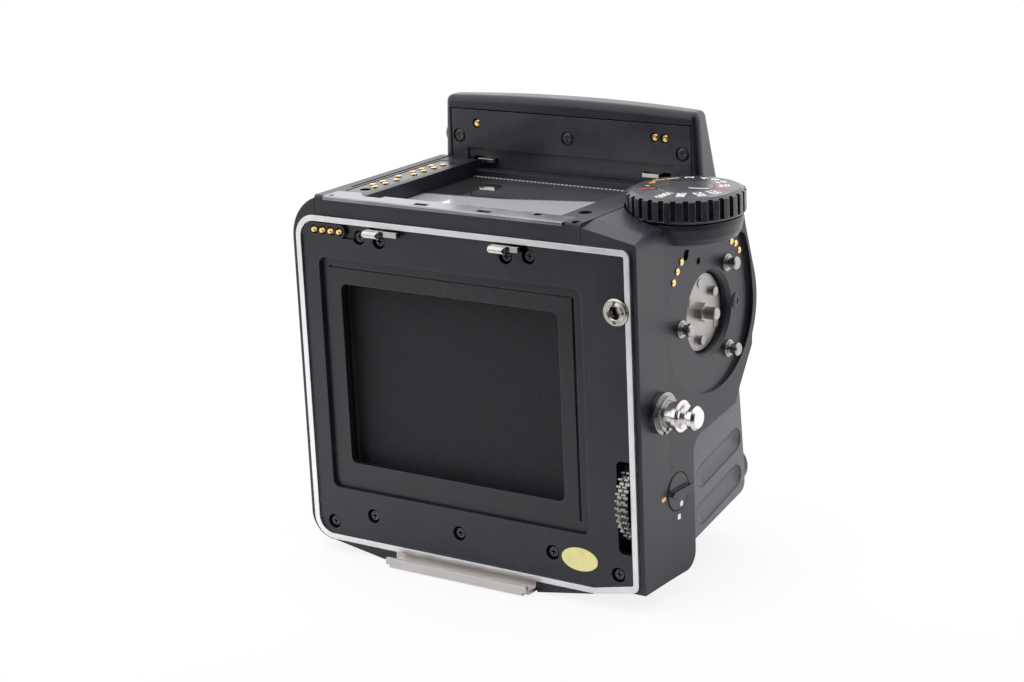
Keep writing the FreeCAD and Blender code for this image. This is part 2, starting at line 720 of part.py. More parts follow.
rim_room = rear_outline(-d.fit_gap, d.housing_back + 5, d.rim_seat - d.fit_gap)
casting_room = rear_outline(d.rim_band + 0.6 - d.fit_gap, d.rim_seat, d.casting_front - d.fit_gap)
bush_room = rod("Y", (-d.bush_x, d.casting_front + 0.6, d.bush_z), d.bush_radius + d.fit_gap, 10)
release_face = d.grip_edge - 27.3
release_bore = joined(
    rod("-Y", (-d.release_x, -14, d.release_z), as_size(2.3), 12),
    rod("-Y", (-d.release_x, release_face + 1.4, d.release_z), as_size(3.15), 4))
part("right_housing", cut(
    housing, hollow, pocket, shaft_hole, dish, coupling_bore, coupling_bevel, grip_cut, upper_groove,
    lower_groove, film_room, lever_hole, lever_bore, strap_bore, sensor_hole, peg_hole, rim_room,
    contact_bay, release_bore, casting_room, bush_room))


# Left end cap

def cap_profile(inset, back, front):
    """Front view of the left end cap, moved inwards by inset, between two planes."""
    outer = d.left_face - inset
    seam = d.left_seam + 0.1
    return padded("XZ", -back, back - front, [
        (seam, d.rim_bottom - 0.5 + inset), (outer - 5.6, d.rim_bottom - 0.5 + inset, 6.4 - inset),
        (outer, d.rim_bottom + 5.3), (outer, d.deck_top - 10.6, 10.4 - inset),
        (seam, d.deck_top - 0.7 - inset)])


left_shell = cap_profile(as_size(0), d.housing_back, -d.side_front)
left_hollow = cap_profile(d.wall_thick, d.casting_front - d.fit_gap, -d.side_front + d.wall_thick)
left_strap_bore = rod("-X", (d.left_face + 1, d.strap_y - 10, d.strap_z), as_size(1.55), 8)
sync_bore = rod("-X", (d.left_face + 1, -12.0, 30.0), as_size(3.1), 6)
cable_bore = rod("-X", (d.left_face + 1, -12.0, 18.0), as_size(2.4), 6)
block_room = slab((d.left_seam, 41.2), (d.rim_seat - 0.4, d.rim_seat + 1), (76.3, 80.2))
part("left_end_cap", cut(
    left_shell, left_hollow, rim_room, casting_room, block_room, left_strap_bore, sync_bore, cable_bore))


# Top plate

deck_low = d.deck_top - d.deck_thick
gap = d.fit_gap
deck = slab((-d.right_seam + 0.1, d.left_seam), (-d.hood_back + 0.1, d.housing_back),
    (deck_low, d.deck_top))
deck = softened(deck, 0.7, lambda m, w, e: (
    abs(w.x) > 0.99 and m.y > 20 and m.z > 86))
well = slab((-d.well_right, d.well_left), (-d.well_front, d.well_back), (deck_low - 1, d.deck_top + 1))
front_sill = slab((-d.well_right, d.well_left), (-d.hood_back - 1, -d.well_front + 1),
                  (d.deck_top - 2.2, d.deck_top + 1))
well_notch = slab((20.2, d.well_left), (d.well_back - 1, 24.0), (deck_low - 1, d.deck_top + 1))
catch_way = slab((-28.4, 28.4), (-d.hood_back - 1, -d.hood_back + 1.7),
    (d.deck_top - 1.2, d.deck_top + 1))
strip_left = 34.0
strip_right = -30.9
strip_edge = [
    (strip_left, 29), (strip_left, 21.9), (28.1, 21.1), (d.well_left + 0.1, 24.1), (20.1, 24.1),
    (20.1, d.well_back + 0.05), (strip_right, d.well_back + 0.05), (strip_right, 29)]
strip_plan = padded("XY", d.deck_top - 3, 5, strip_edge)
strip_seat = cut(strip_plan, slab((-60, 60), (0, 40), (d.deck_top - 4, d.deck_top - d.strip_thick - gap)))
contact_seat = slab((26.9, 32.8), (-16.6, 20.9), (d.deck_top - 0.7, d.deck_top + 1))
rail_groove = slab((33.6, 34.3), (-d.hood_back - 1, 17.0), (d.deck_top - 0.6, d.deck_top + 1))
deck_holes = [rod("Z", (x, y, d.deck_top - 2.6), as_size(radius), 4) for x, y, radius in (
    (29.4, 17.6, 1.35), (32.6, 26.1, 0.6), (-30.4, 17.6, 1.5), (-33.4, 26.0, 1.0))]
part("top_plate", cut(
    deck, well, well_notch, front_sill, catch_way, strip_seat, contact_seat, rail_groove, pocket,
    *deck_holes))

# Sheet strip behind the finder well, bent over the rear edge, with its two windows
strip_top = d.deck_top + 0.02
strip_low = d.deck_top - d.strip_thick
strip_back = d.housing_back + d.strip_thick + gap
strip_bend = padded("YZ", strip_right, strip_left - strip_right, [
    (20, strip_low), (d.housing_back + gap, strip_low), (d.housing_back + gap, strip_low - 0.45),
    (strip_back, strip_low - 0.45), (strip_back, strip_top - 0.3, 0.3), (strip_back - 0.3, strip_top),
    (20, strip_top)])
strip_windows = [slab(x, (24.9, 26.7), (d.deck_top - 2, d.deck_top + 1)) for x in ((5.7, 9.4),
    (-11.3, -7.5))]
strip_notch = slab((-22.9, -21.0), (d.well_back - 1, d.well_back + 2.0), (d.deck_top - 2, d.deck_top + 1))
strip_hole = rod("Z", (32.6, 26.1, d.deck_top - 2), as_size(0.6), 4)
part("finder_rear_strip", cut(common(strip_bend, strip_plan), strip_notch, strip_hole, *strip_windows))


# Base plate

base_outline = padded("XZ", -d.housing_back, d.housing_back + d.side_front, [
    (-d.right_seam + 0.1, 2.4), (-20.5, 0), (22.7, 0), (d.left_seam, 2.3),
    (d.left_seam, 2.3 + d.base_thick), (23.5, d.base_thick), (-21.3, d.base_thick),
    (-d.right_seam + 0.1, 2.4 + d.base_thick)])
door_hole = slab((d.door_x - d.door_half - 0.1, d.door_x + d.door_half + 0.1),
                 (-d.door_front - 0.1, d.door_back + 0.3), (-1, d.base_thick + 3))
socket_hole = rod("Z", (0, 0, -1), d.socket_flange - 1.2, 6)
bracket_notch = slab((-d.bracket_right - 0.2, d.bracket_left + 0.2),
    (d.rim_face - 1.6, d.housing_back + 1),
                     (-1, d.base_thick + 1))
base_holes = [rod("Z", (x, y, -1), as_size(1.0), 6) for x, y in ((-17, -16), (-17, 18), (5, 18))]
part("base_plate", cut(base_outline, door_hole, socket_hole, bracket_notch, rim_room, casting_room,
    *base_holes))


# Rear: rim, plates and gate

rim_block = rear_outline(as_size(0), d.rim_face, d.rim_seat)
rim_hole = rear_outline(d.rim_band, d.rim_face + 1, d.rim_seat - 1)
part("rim_frame", cut(rim_block, rim_hole, bush_room))

def along_y(m, w, e):
    """Chooses the corner edges of an outline that is padded along Y."""
    return abs(w.y) > 0.99


def gear_slot(margin):
    """Slot that lets the film wind gear through, with round corners towards the gate."""
    return padded("XZ", -d.rim_face - 1, d.rim_face - d.casting_front + 2, [
        (-d.slot_in, d.slot_low - margin), (-d.slot_in, d.slot_high + margin),
        (-d.slot_out, d.slot_high + margin), (-d.slot_out, d.slot_low - margin)],
        [(1.4, lambda m, w, e: abs(w.y) > 0.99 and m.x > -float(d.slot_in) - 0.1)])


def step_outline(inset, back, front):
    """Outline of the step round the gate, moved inwards by inset, between two planes."""
    right = -d.step_right + inset
    left = d.step_left - inset
    return padded("XZ", -back, back - front, [
        (left, d.step_bottom + inset), (left, d.step_top - inset), (right, d.step_top - inset),
        (right, d.step_bottom + inset)], [(d.step_round - inset, along_y)])


step_hole = step_outline(as_size(0), d.rim_face, d.rim_seat - 1)
block_end = 25.4
block_seat = slab((block_end - 0.05, d.rim_left), (d.rim_seat - 1, d.rim_face), (76.6, d.rim_top))
rear_screw_spots = [(24.4, 77.3), (18.75, 76.9), (-15.8, 77.0), (-21.8, 77.6), (25.0, 10.4), (0.4, 10.4),
                    (-25.0, 10.4), (36.9, 7.2), (-42.1, 8.2)]
screw_wells = [rod("Y", (x, d.rim_seat - 1, z), as_size(1.75), 4) for x, z in rear_screw_spots]
hook_seats = [slab((tip - 9.0, tip - 0.4), (d.rim_seat - 1, d.rim_face), (78.4, 80.5)) for tip in (21.6,
    -12.7)]
plate_block = rear_outline(d.rim_band + d.fit_gap, d.plate_face, d.rim_seat)
part("rear_plate", cut(plate_block, step_hole, gear_slot(0), block_seat, bush_room, *screw_wells,
    *hook_seats))

def gate_hole(front, back, margin=0):
    """Opening in front of the curtain, with round corners."""
    half = d.gate_wide / 2 + margin
    tall = d.gate_high / 2 + margin
    return padded("XZ", -back, back - front, [
        (d.gate_x + half, d.gate_z - tall), (d.gate_x + half, d.gate_z + tall),
        (d.gate_x - half, d.gate_z + tall), (d.gate_x - half, d.gate_z - tall)],
        [(d.gate_round, along_y)])


gate_block = step_outline(gap, d.gate_face, d.rim_seat - 0.1)
groove_deep = (d.gate_face - d.gate_groove, d.rim_face)
top_groove = slab((-32.2, 34.4), groove_deep, (69.2, 69.6))
right_groove = slab((-32.5, -31.8), groove_deep, (18.6, 69.2))
part("gate_frame", cut(gate_block, top_groove, right_groove, gate_hole(d.casting_front, d.rim_face)))

casting_back = d.rim_seat - 0.1
casting_block = rear_outline(d.rim_band + 0.6, casting_back, d.casting_front)
pin_way = rod("Y", (-d.bush_x, d.casting_front - 1, d.bush_z), as_size(1.15), 4)
idler_room = rod("X", (-d.gear_in - d.gear_wide - 0.5, *idler_axis), idler_reach + 0.5, 2.1)
part("rear_casting", cut(
    casting_block, gate_hole(d.casting_front - 1, d.rim_face, 2.0), gear_slot(0.8), bush_room, pin_way,
    idler_room))

# Contact block with spring pins, and the hooks that hold the film back
block_low = slab((block_end, 40.7), (casting_back, d.plate_face - 0.7), (76.65, 79.8))
block_raised = padded("XZ", -d.plate_face - 0.2, d.plate_face + 0.2 - casting_back, [
    (28.2, 76.65), (28.2, 79.8), (40.7, 79.8), (40.7, 76.65)],
    [(1.5, lambda m, w, e: abs(w.y) > 0.99 and m.x < 29)])
block_limit = rear_outline(d.rim_band + gap, d.rim_face, d.casting_front)
pin_spots = [36.95, 34.6, 32.2, 29.75]
pin_height = 78.15
pin_bores = [rod("Y", (x, casting_back - 1, pin_height), as_size(1.05), 5) for x in pin_spots]
part("rear_contact_block", cut(common(joined(block_low, block_raised), block_limit), *pin_bores,
    *screw_wells))
pins = [turned("Y", (x, casting_back + 0.3, pin_height), [
    (0, 0), (0.78, 0), (0.78, 2.2), (0.5, 2.75), (0, 2.85)]) for x in pin_spots]


def hook(tip, reach):
    """Sheet hook under the rim: a thick rounded head outside and a thinner arm to its right."""
    root_plate = slab((tip - reach + 1.2, tip - 1.4), (casting_back, 29.0), (78.55, 79.75))
    arm = slab((tip - reach, tip - 3.0), (28.1, 29.2), (78.6, 79.8))
    head = slab((tip - 4.9, tip), (28.1, 30.6), (78.0, 79.85))
    head = softened(head, 0.9, lambda m, w, e: m.y > 30.5 or (abs(w.y) > 0.9 and m.x > float(tip) - 0.1))
    return joined(root_plate, arm, head)


part("film_back_hooks", group(hook(as_size(21.6), 9.2), hook(as_size(-12.7), 7.5)))

# Slotted bush in the rear, with the sensing pin that slides in it
bush = turned("Y", (-d.bush_x, d.casting_front + 0.7, d.bush_z), [
    (1.05, 0), (d.bush_radius, 0), (d.bush_radius, 5.2), (d.bush_radius - 0.3, 5.5), (2.3, 5.5),
    (2.0, 5.9),
    (1.6, 5.9), (1.35, 5.6), (1.35, 2.9), (1.05, 2.9)])
bush_notches = [slab((-d.bush_x - 0.35, -d.bush_x + 0.35), (27.9, 29.0),
    (d.bush_z + low, d.bush_z + low + 0.9))
                for low in (-2.5, 1.6)]
part("slotted_bush", cut(bush, *bush_notches))
part("sensing_pin", turned("Y", (-d.bush_x, d.casting_front + 1.6, d.bush_z), [
    (0, 0), (0.95, 0), (0.95, 2.7), (0.6, 3.1), (0, 3.1)]))

# Hinge bracket of the film back
low = as_size(0.3)
sheet_gauge = d.bracket_sheet
bracket = padded("YZ", -d.bracket_right, d.bracket_left + d.bracket_right, [
    (d.rim_face - 1.5, low), (d.bracket_back, low), (d.bracket_back, 2.5),
    (d.bracket_back - sheet_gauge, 2.5), (d.bracket_back - sheet_gauge, low + sheet_gauge),
    (d.rim_face - 0.7, low + sheet_gauge), (d.rim_face - 0.7, 2.8), (d.rim_face - 1.5, 2.8)])
clips = [slab(x, (d.bracket_back - 1.2, d.bracket_back + 1), (-1, 0.9)) for x in (
    (d.bracket_left - 1.0, d.bracket_left + 1), (-d.bracket_right - 1, -d.bracket_right + 1.0))]
part("film_back_bracket", cut(bracket, *clips))

rear_screws = [screw("Y", (x, casting_back, z), as_size(1.55), as_size(1.8)) for x, z in rear_screw_spots]

sticker = rod("Y", (-32.2, d.plate_face, 10.1), as_size(4.7), 0.12)
doc.recompute()
oval = doc.addObject("Part::Feature", "oval")
oval_edge = Part.Ellipse(Vector(0, 0, 0), 4.7, 2.7).toShape()
oval.Shape = Part.Face(Part.Wire([oval_edge])).extrude(Vector(0, 0, 0.12))
doc.removeObject(sticker.Name)
part("inspection_sticker", place(oval, (-32.2, d.plate_face, 10.1), ALONG["Y"]))


# Shutter behind the gate

plate_in = d.roller_long / 2 + 0.4
plates = [slab(x, (d.shutter_front, d.casting_front), (d.shutter_low, d.shutter_low + d.shutter_tall))
          for x in ((-plate_in - 1.4, -plate_in), (plate_in, plate_in + 1.4))]
bars = [slab((-plate_in - 1.4, plate_in + 1.4), (d.shutter_front, d.shutter_front + 1.2), z) for z in (
    (d.shutter_low, d.shutter_low + 3), (d.shutter_low + d.shutter_tall - 3,
    d.shutter_low + d.shutter_tall))]
roller_y = d.curtain_y - d.roller_radius - 0.1
journals = [rod("X", (-plate_in - 3, roller_y, z), d.roller_pin + 0.05, plate_in * 2 + 6)
            for z in (d.roller_low, d.roller_high)]
hinge_bore = rod("X", (-plate_in - 3, d.hinge_y, d.hinge_z), d.hinge_radius + 0.04, plate_in * 2 + 6)
part("shutter_frame", cut(joined(*plates, *bars), *journals, hinge_bore))
part("shutter_curtain", slab((-d.curtain_half, d.curtain_half),
    (d.curtain_y, d.curtain_y + d.curtain_thick), (d.roller_low, d.roller_high)))


def roller(height):
    """Curtain drum with a journal at each end."""
    drum = rod("X", (-d.roller_long / 2, roller_y, height), d.roller_radius, d.roller_long)
    pin = rod("X", (-plate_in - 1.4, roller_y, height), d.roller_pin, plate_in * 2 + 2.8)
    return joined(drum, pin)


part("lower_curtain_roller", roller(d.roller_low))
part("upper_curtain_roller", roller(d.roller_high))


# Mirror box, mirror and screen

box_outer = slab((-d.box_half, d.box_half), (-d.box_front, d.box_back), (d.box_low, d.box_high))
box_inner = slab((-d.box_half + d.wall_thick, d.box_half - d.wall_thick),
    (-d.box_front - 1, d.box_back + 1),
                 (d.box_low + d.wall_thick, d.box_high + 1))
part("mirror_box", cut(box_outer, box_inner))


def mirror_sheet(first, last, thick, drop, half, tip_half):
    """Sheet that hangs from the hinge line at 45 degrees, in its own flat frame."""
    near = Vector(float(half), float(first), float(drop))
    shoulder = Vector(float(half), float(last) * 0.62, float(drop))
    tip = Vector(float(tip_half), float(last), float(drop))
    left = [near, shoulder, tip]
    right = [Vector(-point.x, point.y, point.z) for point in reversed(left)]
    wire = Part.makePolygon(left + right + [near])
    return Part.Face(wire).extrude(Vector(0, 0, float(thick)))


# Turned by -135 degrees, the flat frame's +Y runs forwards and down from the hinge and its
# +Z looks back and down, away from the lens.
hang = Rotation(Vector(1, 0, 0), -135)
hinge_at = (as_size(0), d.hinge_y, d.hinge_z)
holder = mirror_sheet(2.0, d.mirror_long, d.holder_thick, -0.1, d.mirror_half, d.mirror_tip_half)
ears = Part.makeBox(2 * float(d.mirror_half), 3.6, 0.9, Vector(-float(d.mirror_half), -0.4, -0.45))
barrel = Part.makeCylinder(2.0, 2 * float(d.mirror_half), Vector(-float(d.mirror_half), 0, 0),
    Vector(1, 0, 0))
bore = Part.makeCylinder(float(d.hinge_radius) + 0.04, 80, Vector(-40, 0, 0), Vector(1, 0, 0))
part("mirror_holder", free_shape(holder.fuse(ears).fuse(barrel).cut(bore).removeSplitter(), hinge_at,
    hang))
glass = mirror_sheet(3.6, d.mirror_long - 0.8, d.mirror_thick, -float(d.mirror_thick) - 0.15,
                     d.mirror_half - 0.6, d.mirror_tip_half - 0.6)
part("reflex_mirror", free_shape(glass, hinge_at, hang))
part("mirror_hinge_pin", rod("X", (-plate_in - 1.4, d.hinge_y, d.hinge_z), d.hinge_radius,
    plate_in * 2 + 2.8))

frame_block = slab((-d.frame_half, d.frame_half), (-d.hood_back + 0.3, d.casting_front - 0.2),
    (d.frame_low, deck_low - 0.1))
frame_hole = slab((-25.6, 23.2), (-17.2, 20.0), (d.frame_low - 1, d.deck_top))
screen_seat = slab((-d.well_right, d.well_left), (-d.well_front + 0.1, d.well_back - 0.8),
                   (d.screen_top - d.screen_thick - gap, d.deck_top))
front_bar = slab((-d.well_right + 0.3, d.well_left - 0.3), (-d.well_front + 0.15, -d.well_front + 0.6),
                 (d.screen_top - d.screen_thick - 0.5, d.screen_top + 0.1))
part("screen_frame", joined(cut(frame_block, frame_hole, screen_seat), front_bar))
part("focusing_screen", slab((-d.well_right + 0.3, d.well_left - 0.3),
    (-d.well_front + 0.7, d.well_back - 1.1),
                             (d.screen_top - d.screen_thick, d.screen_top)))

# Contacts beside the well
contact_plate = slab((27.0, 32.7), (-16.5, 20.8), (d.deck_top - 0.7 + gap, d.deck_top - 0.1))
contact_plate_hole = rod("Z", (29.4, 17.6, d.deck_top - 3), as_size(1.35), 5)
part("finder_contact_strip", cut(contact_plate, contact_plate_hole, strip_plan))
spots = [(30.9, y) for y in (12.9, 9.1, 3.1, -2.4, -6.2, -10.0)]
spots += [(28.95, y) for y in (14.7, 10.7, 6.5, -0.3, -4.3, -8.3, -12.1)]
dots = [rod("Z", (x, y, d.deck_top - 0.1), as_size(0.75), 0.25) for x, y in spots]


# Hood over the lens mount

def hood_solid():
    """Lofted cover, flat behind and bowed in front, with a crowned top."""
    half = float(d.hood_half)
    back = -float(d.hood_back)

    def plan(height, spread, bulge, front, flank):
        left = Vector(half + spread, back, height)
        left_front = Vector(half + spread + bulge, flank, height)
        middle = Vector(0, front, height)
        right_front = Vector(-half - spread - bulge, flank, height)
        right = Vector(-half - spread, back, height)
        edges = [
            Part.LineSegment(left, left_front).toShape(),
            Part.Arc(left_front, middle, right_front).toShape(),
            Part.LineSegment(right_front, right).toShape(),
            Part.LineSegment(right, left).toShape(),
        ]
        return Part.Wire(edges)

    foot = float(d.deck_top) - float(d.deck_thick)
    top = float(d.hood_top) + 2
    low_plan = plan(foot, 0.6, 0.2, -float(d.hood_front_low), -float(d.hood_front_low) + 3.2)
    high_plan = plan(top, -0.4, -0.6, -float(d.hood_front_high), -float(d.hood_front_high) + 1.3)
    body = Part.makeLoft([low_plan, high_plan], True, True)
    sag = float(d.hood_top) - float(d.hood_corner)
    crown_radius = (half * half + sag * sag) / (2 * sag)
    crown = Part.makeCylinder(crown_radius, 60, Vector(0, 20, float(d.hood_top) - crown_radius),
        Vector(0, -1, 0))
    return body.common(crown)


hood_raw = doc.addObject("Part::Feature", "hood_raw")
hood_raw.Shape = hood_solid()
hood_round = softened(hood_raw, 1.7, lambda m, w, e: m.z > float(deck_low) + 2)
hood_hollow = slab(
    (-d.hood_plate_half - 0.3, d.hood_plate_half + 0.3), (-d.hood_back - 4.6, -d.hood_back + 1),
    (deck_low - 1, d.hood_plate_top + 0.3))
button_at = (-d.hood_back - 4.2, 91.0)
button_bore = rod("X", (d.hood_half - 8, *button_at), as_size(1.7), 14)
button_recess = rod("X", (d.hood_half - 1.0, *button_at), as_size(2.35), 6)
part("hood_cover", cut(hood_round, hood_hollow, button_bore, button_recess))

plate_back = -d.hood_back - 0.15
hood_plate = slab((-d.hood_plate_half, d.hood_plate_half), (plate_back - d.hood_plate_thick, plate_back),
                  (deck_low + 0.1, d.hood_plate_top))
hood_field = slab((-d.hood_step_half, d.hood_step_half), (plate_back - 0.5, plate_back + 1),
    (deck_low, d.hood_step_top))
catch_slots = [slab(x, (plate_back - 4, plate_back + 1),
    (d.catch_low, d.catch_low + d.catch_tall)) for x in (
    (d.catch_inner, d.catch_outer), (-d.catch_outer, -d.catch_inner))]
hood_spots = [(d.hood_plate_half - 2.2, 91.2), (as_size(0), 92.5), (-d.hood_plate_half + 2.2, 91.2)]
hood_wells = [rod("Y", (x, plate_back - 0.6, z), as_size(1.8), 2) for x, z in hood_spots]
hood_contact_spots = [(25.9, 94.5), (-24.0, 94.6), (-26.7, 94.5)]
contact_wells = [rod("Y", (x, plate_back - 0.5, z), d.gold_radius + 0.3, 2) for x, z in hood_contact_spots]
part("hood_plate", cut(hood_plate, hood_field, *catch_slots, *hood_wells, *contact_wells))
hood_screws = [screw("Y", (x, plate_back - 0.55, z), as_size(1.5), as_size(0.6)) for x, z in hood_spots]


def contact(direction, at, height, radius):
    """Contact head with a low dome."""
    return turned(direction, at, [
        (0, 0), (radius, 0), (radius, height * 0.4), (radius * 0.7, height * 0.9), (0, height)])


hood_dots = [contact("Y", (x, plate_back - 0.5, z), 0.6, d.gold_radius) for x, z in hood_contact_spots]

catch_z = (d.catch_low + 0.15, d.catch_low + d.catch_tall - 0.15)
catch_plane = plate_back - d.hood_plate_thick - 0.15


def catch_slide(tab, bar):
    """Sliding catch: a bar behind the hood plate and a tab that reaches through its slot."""
    tongue = slab(tab, (catch_plane - 1.2, plate_back + 1.1), catch_z)
    beam = slab(bar, (catch_plane - 1.2, catch_plane), (d.catch_low, d.catch_low + 3.4))
    return joined(tongue, beam)


tab_wide = d.catch_outer - d.catch_inner - d.catch_travel - 0.6
part("left_finder_catch", catch_slide((d.catch_inner + 0.3, d.catch_inner + 0.3 + tab_wide),
    (3.0, d.catch_inner + 4.5)))
part("right_finder_catch", catch_slide((-d.catch_inner - 0.3 - tab_wide, -d.catch_inner - 0.3),
    (-d.catch_inner - 4.5, -3.0)))
part("finder_release_button", turned("X", (d.hood_half - 5.4, *button_at), [
    (0, 0), (1.64, 0), (1.64, 5.6), (2.2, 5.6), (2.2, 6.5), (1.8, 6.8), (0, 6.8)]))


# Speed dial

def make_dial():
    """Dial with a grip of ribs, made by one gap that repeats round the rim."""
    body = doc.addObject("PartDesign::Body", "dial")
    edge = d.dial_radius
    thick = d.dial_thick
    profile = sketch_on(body, "XZ", 0, [
        (d.dial_shaft_radius + 0.1, 0), (edge - 0.5, 0), (edge, 0.5), (edge, thick - 0.6),
        (edge - 1.0, thick - 0.15),
        (edge - 1.3, thick), (d.button_radius + 0.12, thick), (d.button_radius + 0.12, thick - 2.2),
        (d.dial_shaft_radius + 0.1, thick - 2.2)])
    turn = body.newObject("PartDesign::Revolution", "turn")
    turn.Profile = profile
    turn.ReferenceAxis = (profile, ["V_Axis"])
    turn.Angle = 360
    doc.recompute()
    before = turn.Shape.Volume
    half = d.rib_gap / 2
    mouth = sketch_on(body, "XY", 0.6, [
        (edge - d.rib_depth, -half * 0.8), (edge + 1, -half), (edge + 1, half),
        (edge - d.rib_depth, half * 0.8)])
    notch = body.newObject("PartDesign::Pocket", "notch")
    notch.Profile = mouth
    notch.Reversed = True
    bind(notch, Length=thick - 1.0)
    doc.recompute()
    if notch.Shape.Volume > before - 0.1:
        raise RuntimeError("the gap between the ribs cuts nothing")
    ribs = body.newObject("PartDesign::PolarPattern", "ribs")
    ribs.Originals = [notch]
    ribs.Axis = (origin_plane(body, "Z_Axis"), [""])
    ribs.Angle = 360
    bind(ribs, Occurrences=d.dial_ribs)
    body.Tip = ribs
    return place(body, (*dial_axis, d.dial_low), Rotation())


part("speed_dial", make_dial())
part("dial_shaft", turned("Z", (*dial_axis, d.turret_low + 0.4), [
    (0, 0), (d.dial_shaft_radius, 0), (d.dial_shaft_radius,
    d.dial_low + d.dial_thick - d.turret_low - 4.0),
    (0, d.dial_low + d.dial_thick - d.turret_low - 4.0)]))
button_low = d.dial_low + d.dial_thick - 1.2
part("dial_lock_button", turned("Z", (*dial_axis, button_low), [
    (0, 0), (d.button_radius, 0), (d.button_radius, d.button_proud + 1.05),
    (d.button_radius - 0.3, d.button_proud + 1.2),
    (0, d.button_proud + 1.2)]))


# Winder coupling, gears and side furniture

def gear_piece(teeth, at, turn_deg, bore):
    """Toothed ring on the winding side, with its axis along X."""
    ring = gear(teeth, d.gear_wide, bore, turn_deg)
    return free_shape(ring, at, ALONG["-X"])


hub_in = -d.gear_in
shaft_back = d.gear_in - 3.6
disc = turned("-X", (-shaft_back, *coupling_axis), [
    (0, 0), (d.shaft_radius, 0), (d.shaft_radius, d.coupling_face - d.disc_thick - shaft_back),
    (d.coupling_radius, d.coupling_face - d.disc_thick - shaft_back),
    (d.coupling_radius, d.coupling_face - shaft_back - 0.2),
    (d.coupling_radius - 0.2, d.coupling_face - shaft_back),
    (d.drive_radius, d.coupling_face - shaft_back),
    (d.drive_radius, d.coupling_face - shaft_back + d.drive_long - 0.2),
    (d.drive_radius - 0.2, d.coupling_face - shaft_back + d.drive_long),
    (0, d.coupling_face - shaft_back + d.drive_long)])
hexagon = doc.addObject("Part::Prism", "hexagon")
hexagon.Polygon = 6
bind(hexagon, Circumradius=d.hex_flats / 1.732, Height=d.hex_long)
place(hexagon, (-d.coupling_face + 0.1, *coupling_axis), ALONG["-X"])
tall = [rod("-X", (-d.coupling_face + 0.1, d.dish_y + y, d.dish_z + z), as_size(1.05), 1.2)
        for y, z in ((-4.85, 3.7), (0.95, -6.2))]
flat = [rod("-X", (-d.coupling_face + 0.1, d.dish_y + y, d.dish_z + z), as_size(1.1), 0.3)
        for y, z in ((0.15, 6.5), (4.2, 2.75), (-6.45, -4.1))]
part("coupling_disc", joined(disc, hexagon, *tall, *flat))


def mesh_turn(axis, other):
    """Angle from one gear's axis to another's in the gears' own flat frame."""
    return math.degrees(math.atan2(float(other[0]) - float(axis[0]), float(other[1]) - float(axis[1])))


to_coupling = mesh_turn(idler_axis, coupling_axis)
to_film = mesh_turn(idler_axis, film_axis)
idler_step = 360.0 / float(d.idler_teeth)
coupling_step = 360.0 / float(d.coupling_teeth)
film_step = 360.0 / float(d.film_teeth)
# A tooth of the idler points at the coupling axis, where the coupling gear has a gap.
film_phase = ((to_film - to_coupling) / idler_step) % 1.0
part("coupling_gear", gear_piece(d.coupling_teeth, (hub_in, *coupling_axis),
    to_coupling + 180 + coupling_step / 2, d.shaft_radius + 0.02))
part("idler_gear", gear_piece(d.idler_teeth, (hub_in, *idler_axis), to_coupling, d.shaft_radius + 0.02))
film_turn = to_film + 180 + film_step / 2 + film_phase * film_step


def film_gear_shape():
    """Two toothed rings on one hub."""
    bore = float(d.shaft_radius) + 0.02
    width = float(d.gear_wide)
    near = gear(d.film_teeth, d.gear_wide, bore, film_turn)
    far = near.copy()
    far.translate(Vector(0, 0, width + 0.4))
    pitch = float(d.tooth_module) * float(d.film_teeth) / 2
    hub = Part.makeCylinder(pitch - 0.9, 2 * width + 0.4).cut(Part.makeCylinder(bore, 2 * width + 0.4))
    return near.fuse(far).fuse(hub).removeSplitter()


part("film_wind_gear", free_shape(film_gear_shape(), (hub_in, *film_axis), ALONG["-X"]))
bracket_face = -d.gear_in + 2.0
idler_pin = rod("-X", (bracket_face + 0.5, *idler_axis), d.shaft_radius, d.gear_wide + 2.7)
film_pin = rod("-X", (bracket_face + 0.5, *film_axis), d.shaft_radius, d.gear_wide * 2 + 3.2)
plate_y = (-14.0, 21.6)
bracket_plate = slab((bracket_face, bracket_face + 1.2), plate_y, (15.5, 69.5))
posts = [rod("X", (bracket_face, y, z), as_size(2.2), d.gear_in - 2.0 - d.box_half - 0.05)
         for y, z in ((-10.0, 66.0), (-10.0, 24.0))]
bracket_window = slab((bracket_face - 1, bracket_face + 3), (-10.5, -1.0), (28.5, 45.0))
shaft_way = rod("X", (-d.gear_in - 2, *coupling_axis), d.shaft_radius + 0.05, 8)
part("gear_bracket", joined(cut(joined(bracket_plate, *posts), bracket_window, shaft_way), idler_pin,
    film_pin))
bearing_in = d.gear_in + d.gear_wide + 0.15
bearing_rim = d.coupling_hole - d.fit_gap
part("coupling_bearing", turned("-X", (-bearing_in, *coupling_axis), [
    (d.shaft_radius + 0.04, 0), (bearing_rim, 0), (bearing_rim, 1.1), (d.shaft_radius + 0.04, 1.1)]))


def mushroom(direction, at):
    """Mushroom-headed stud on a stepped flange."""
    return turned(direction, at, [
        (0, 0), (1.95, 0), (1.95, 0.6), (1.55, 0.6), (1.55, 1.0), (1.15, 1.0), (1.15, 2.1), (1.5, 2.1),
        (1.5, 2.8), (1.2, 3.1), (0, 3.1)])


stud_spots = [(d.dish_y - 7.8, d.dish_z + 9.8), (d.dish_y + 12.6, d.dish_z - 0.5),
    (d.dish_y - 7.8, d.dish_z - 10.0)]
part("winder_studs", group(*[mushroom("-X", side_point(y, z)) for y, z in stud_spots]))

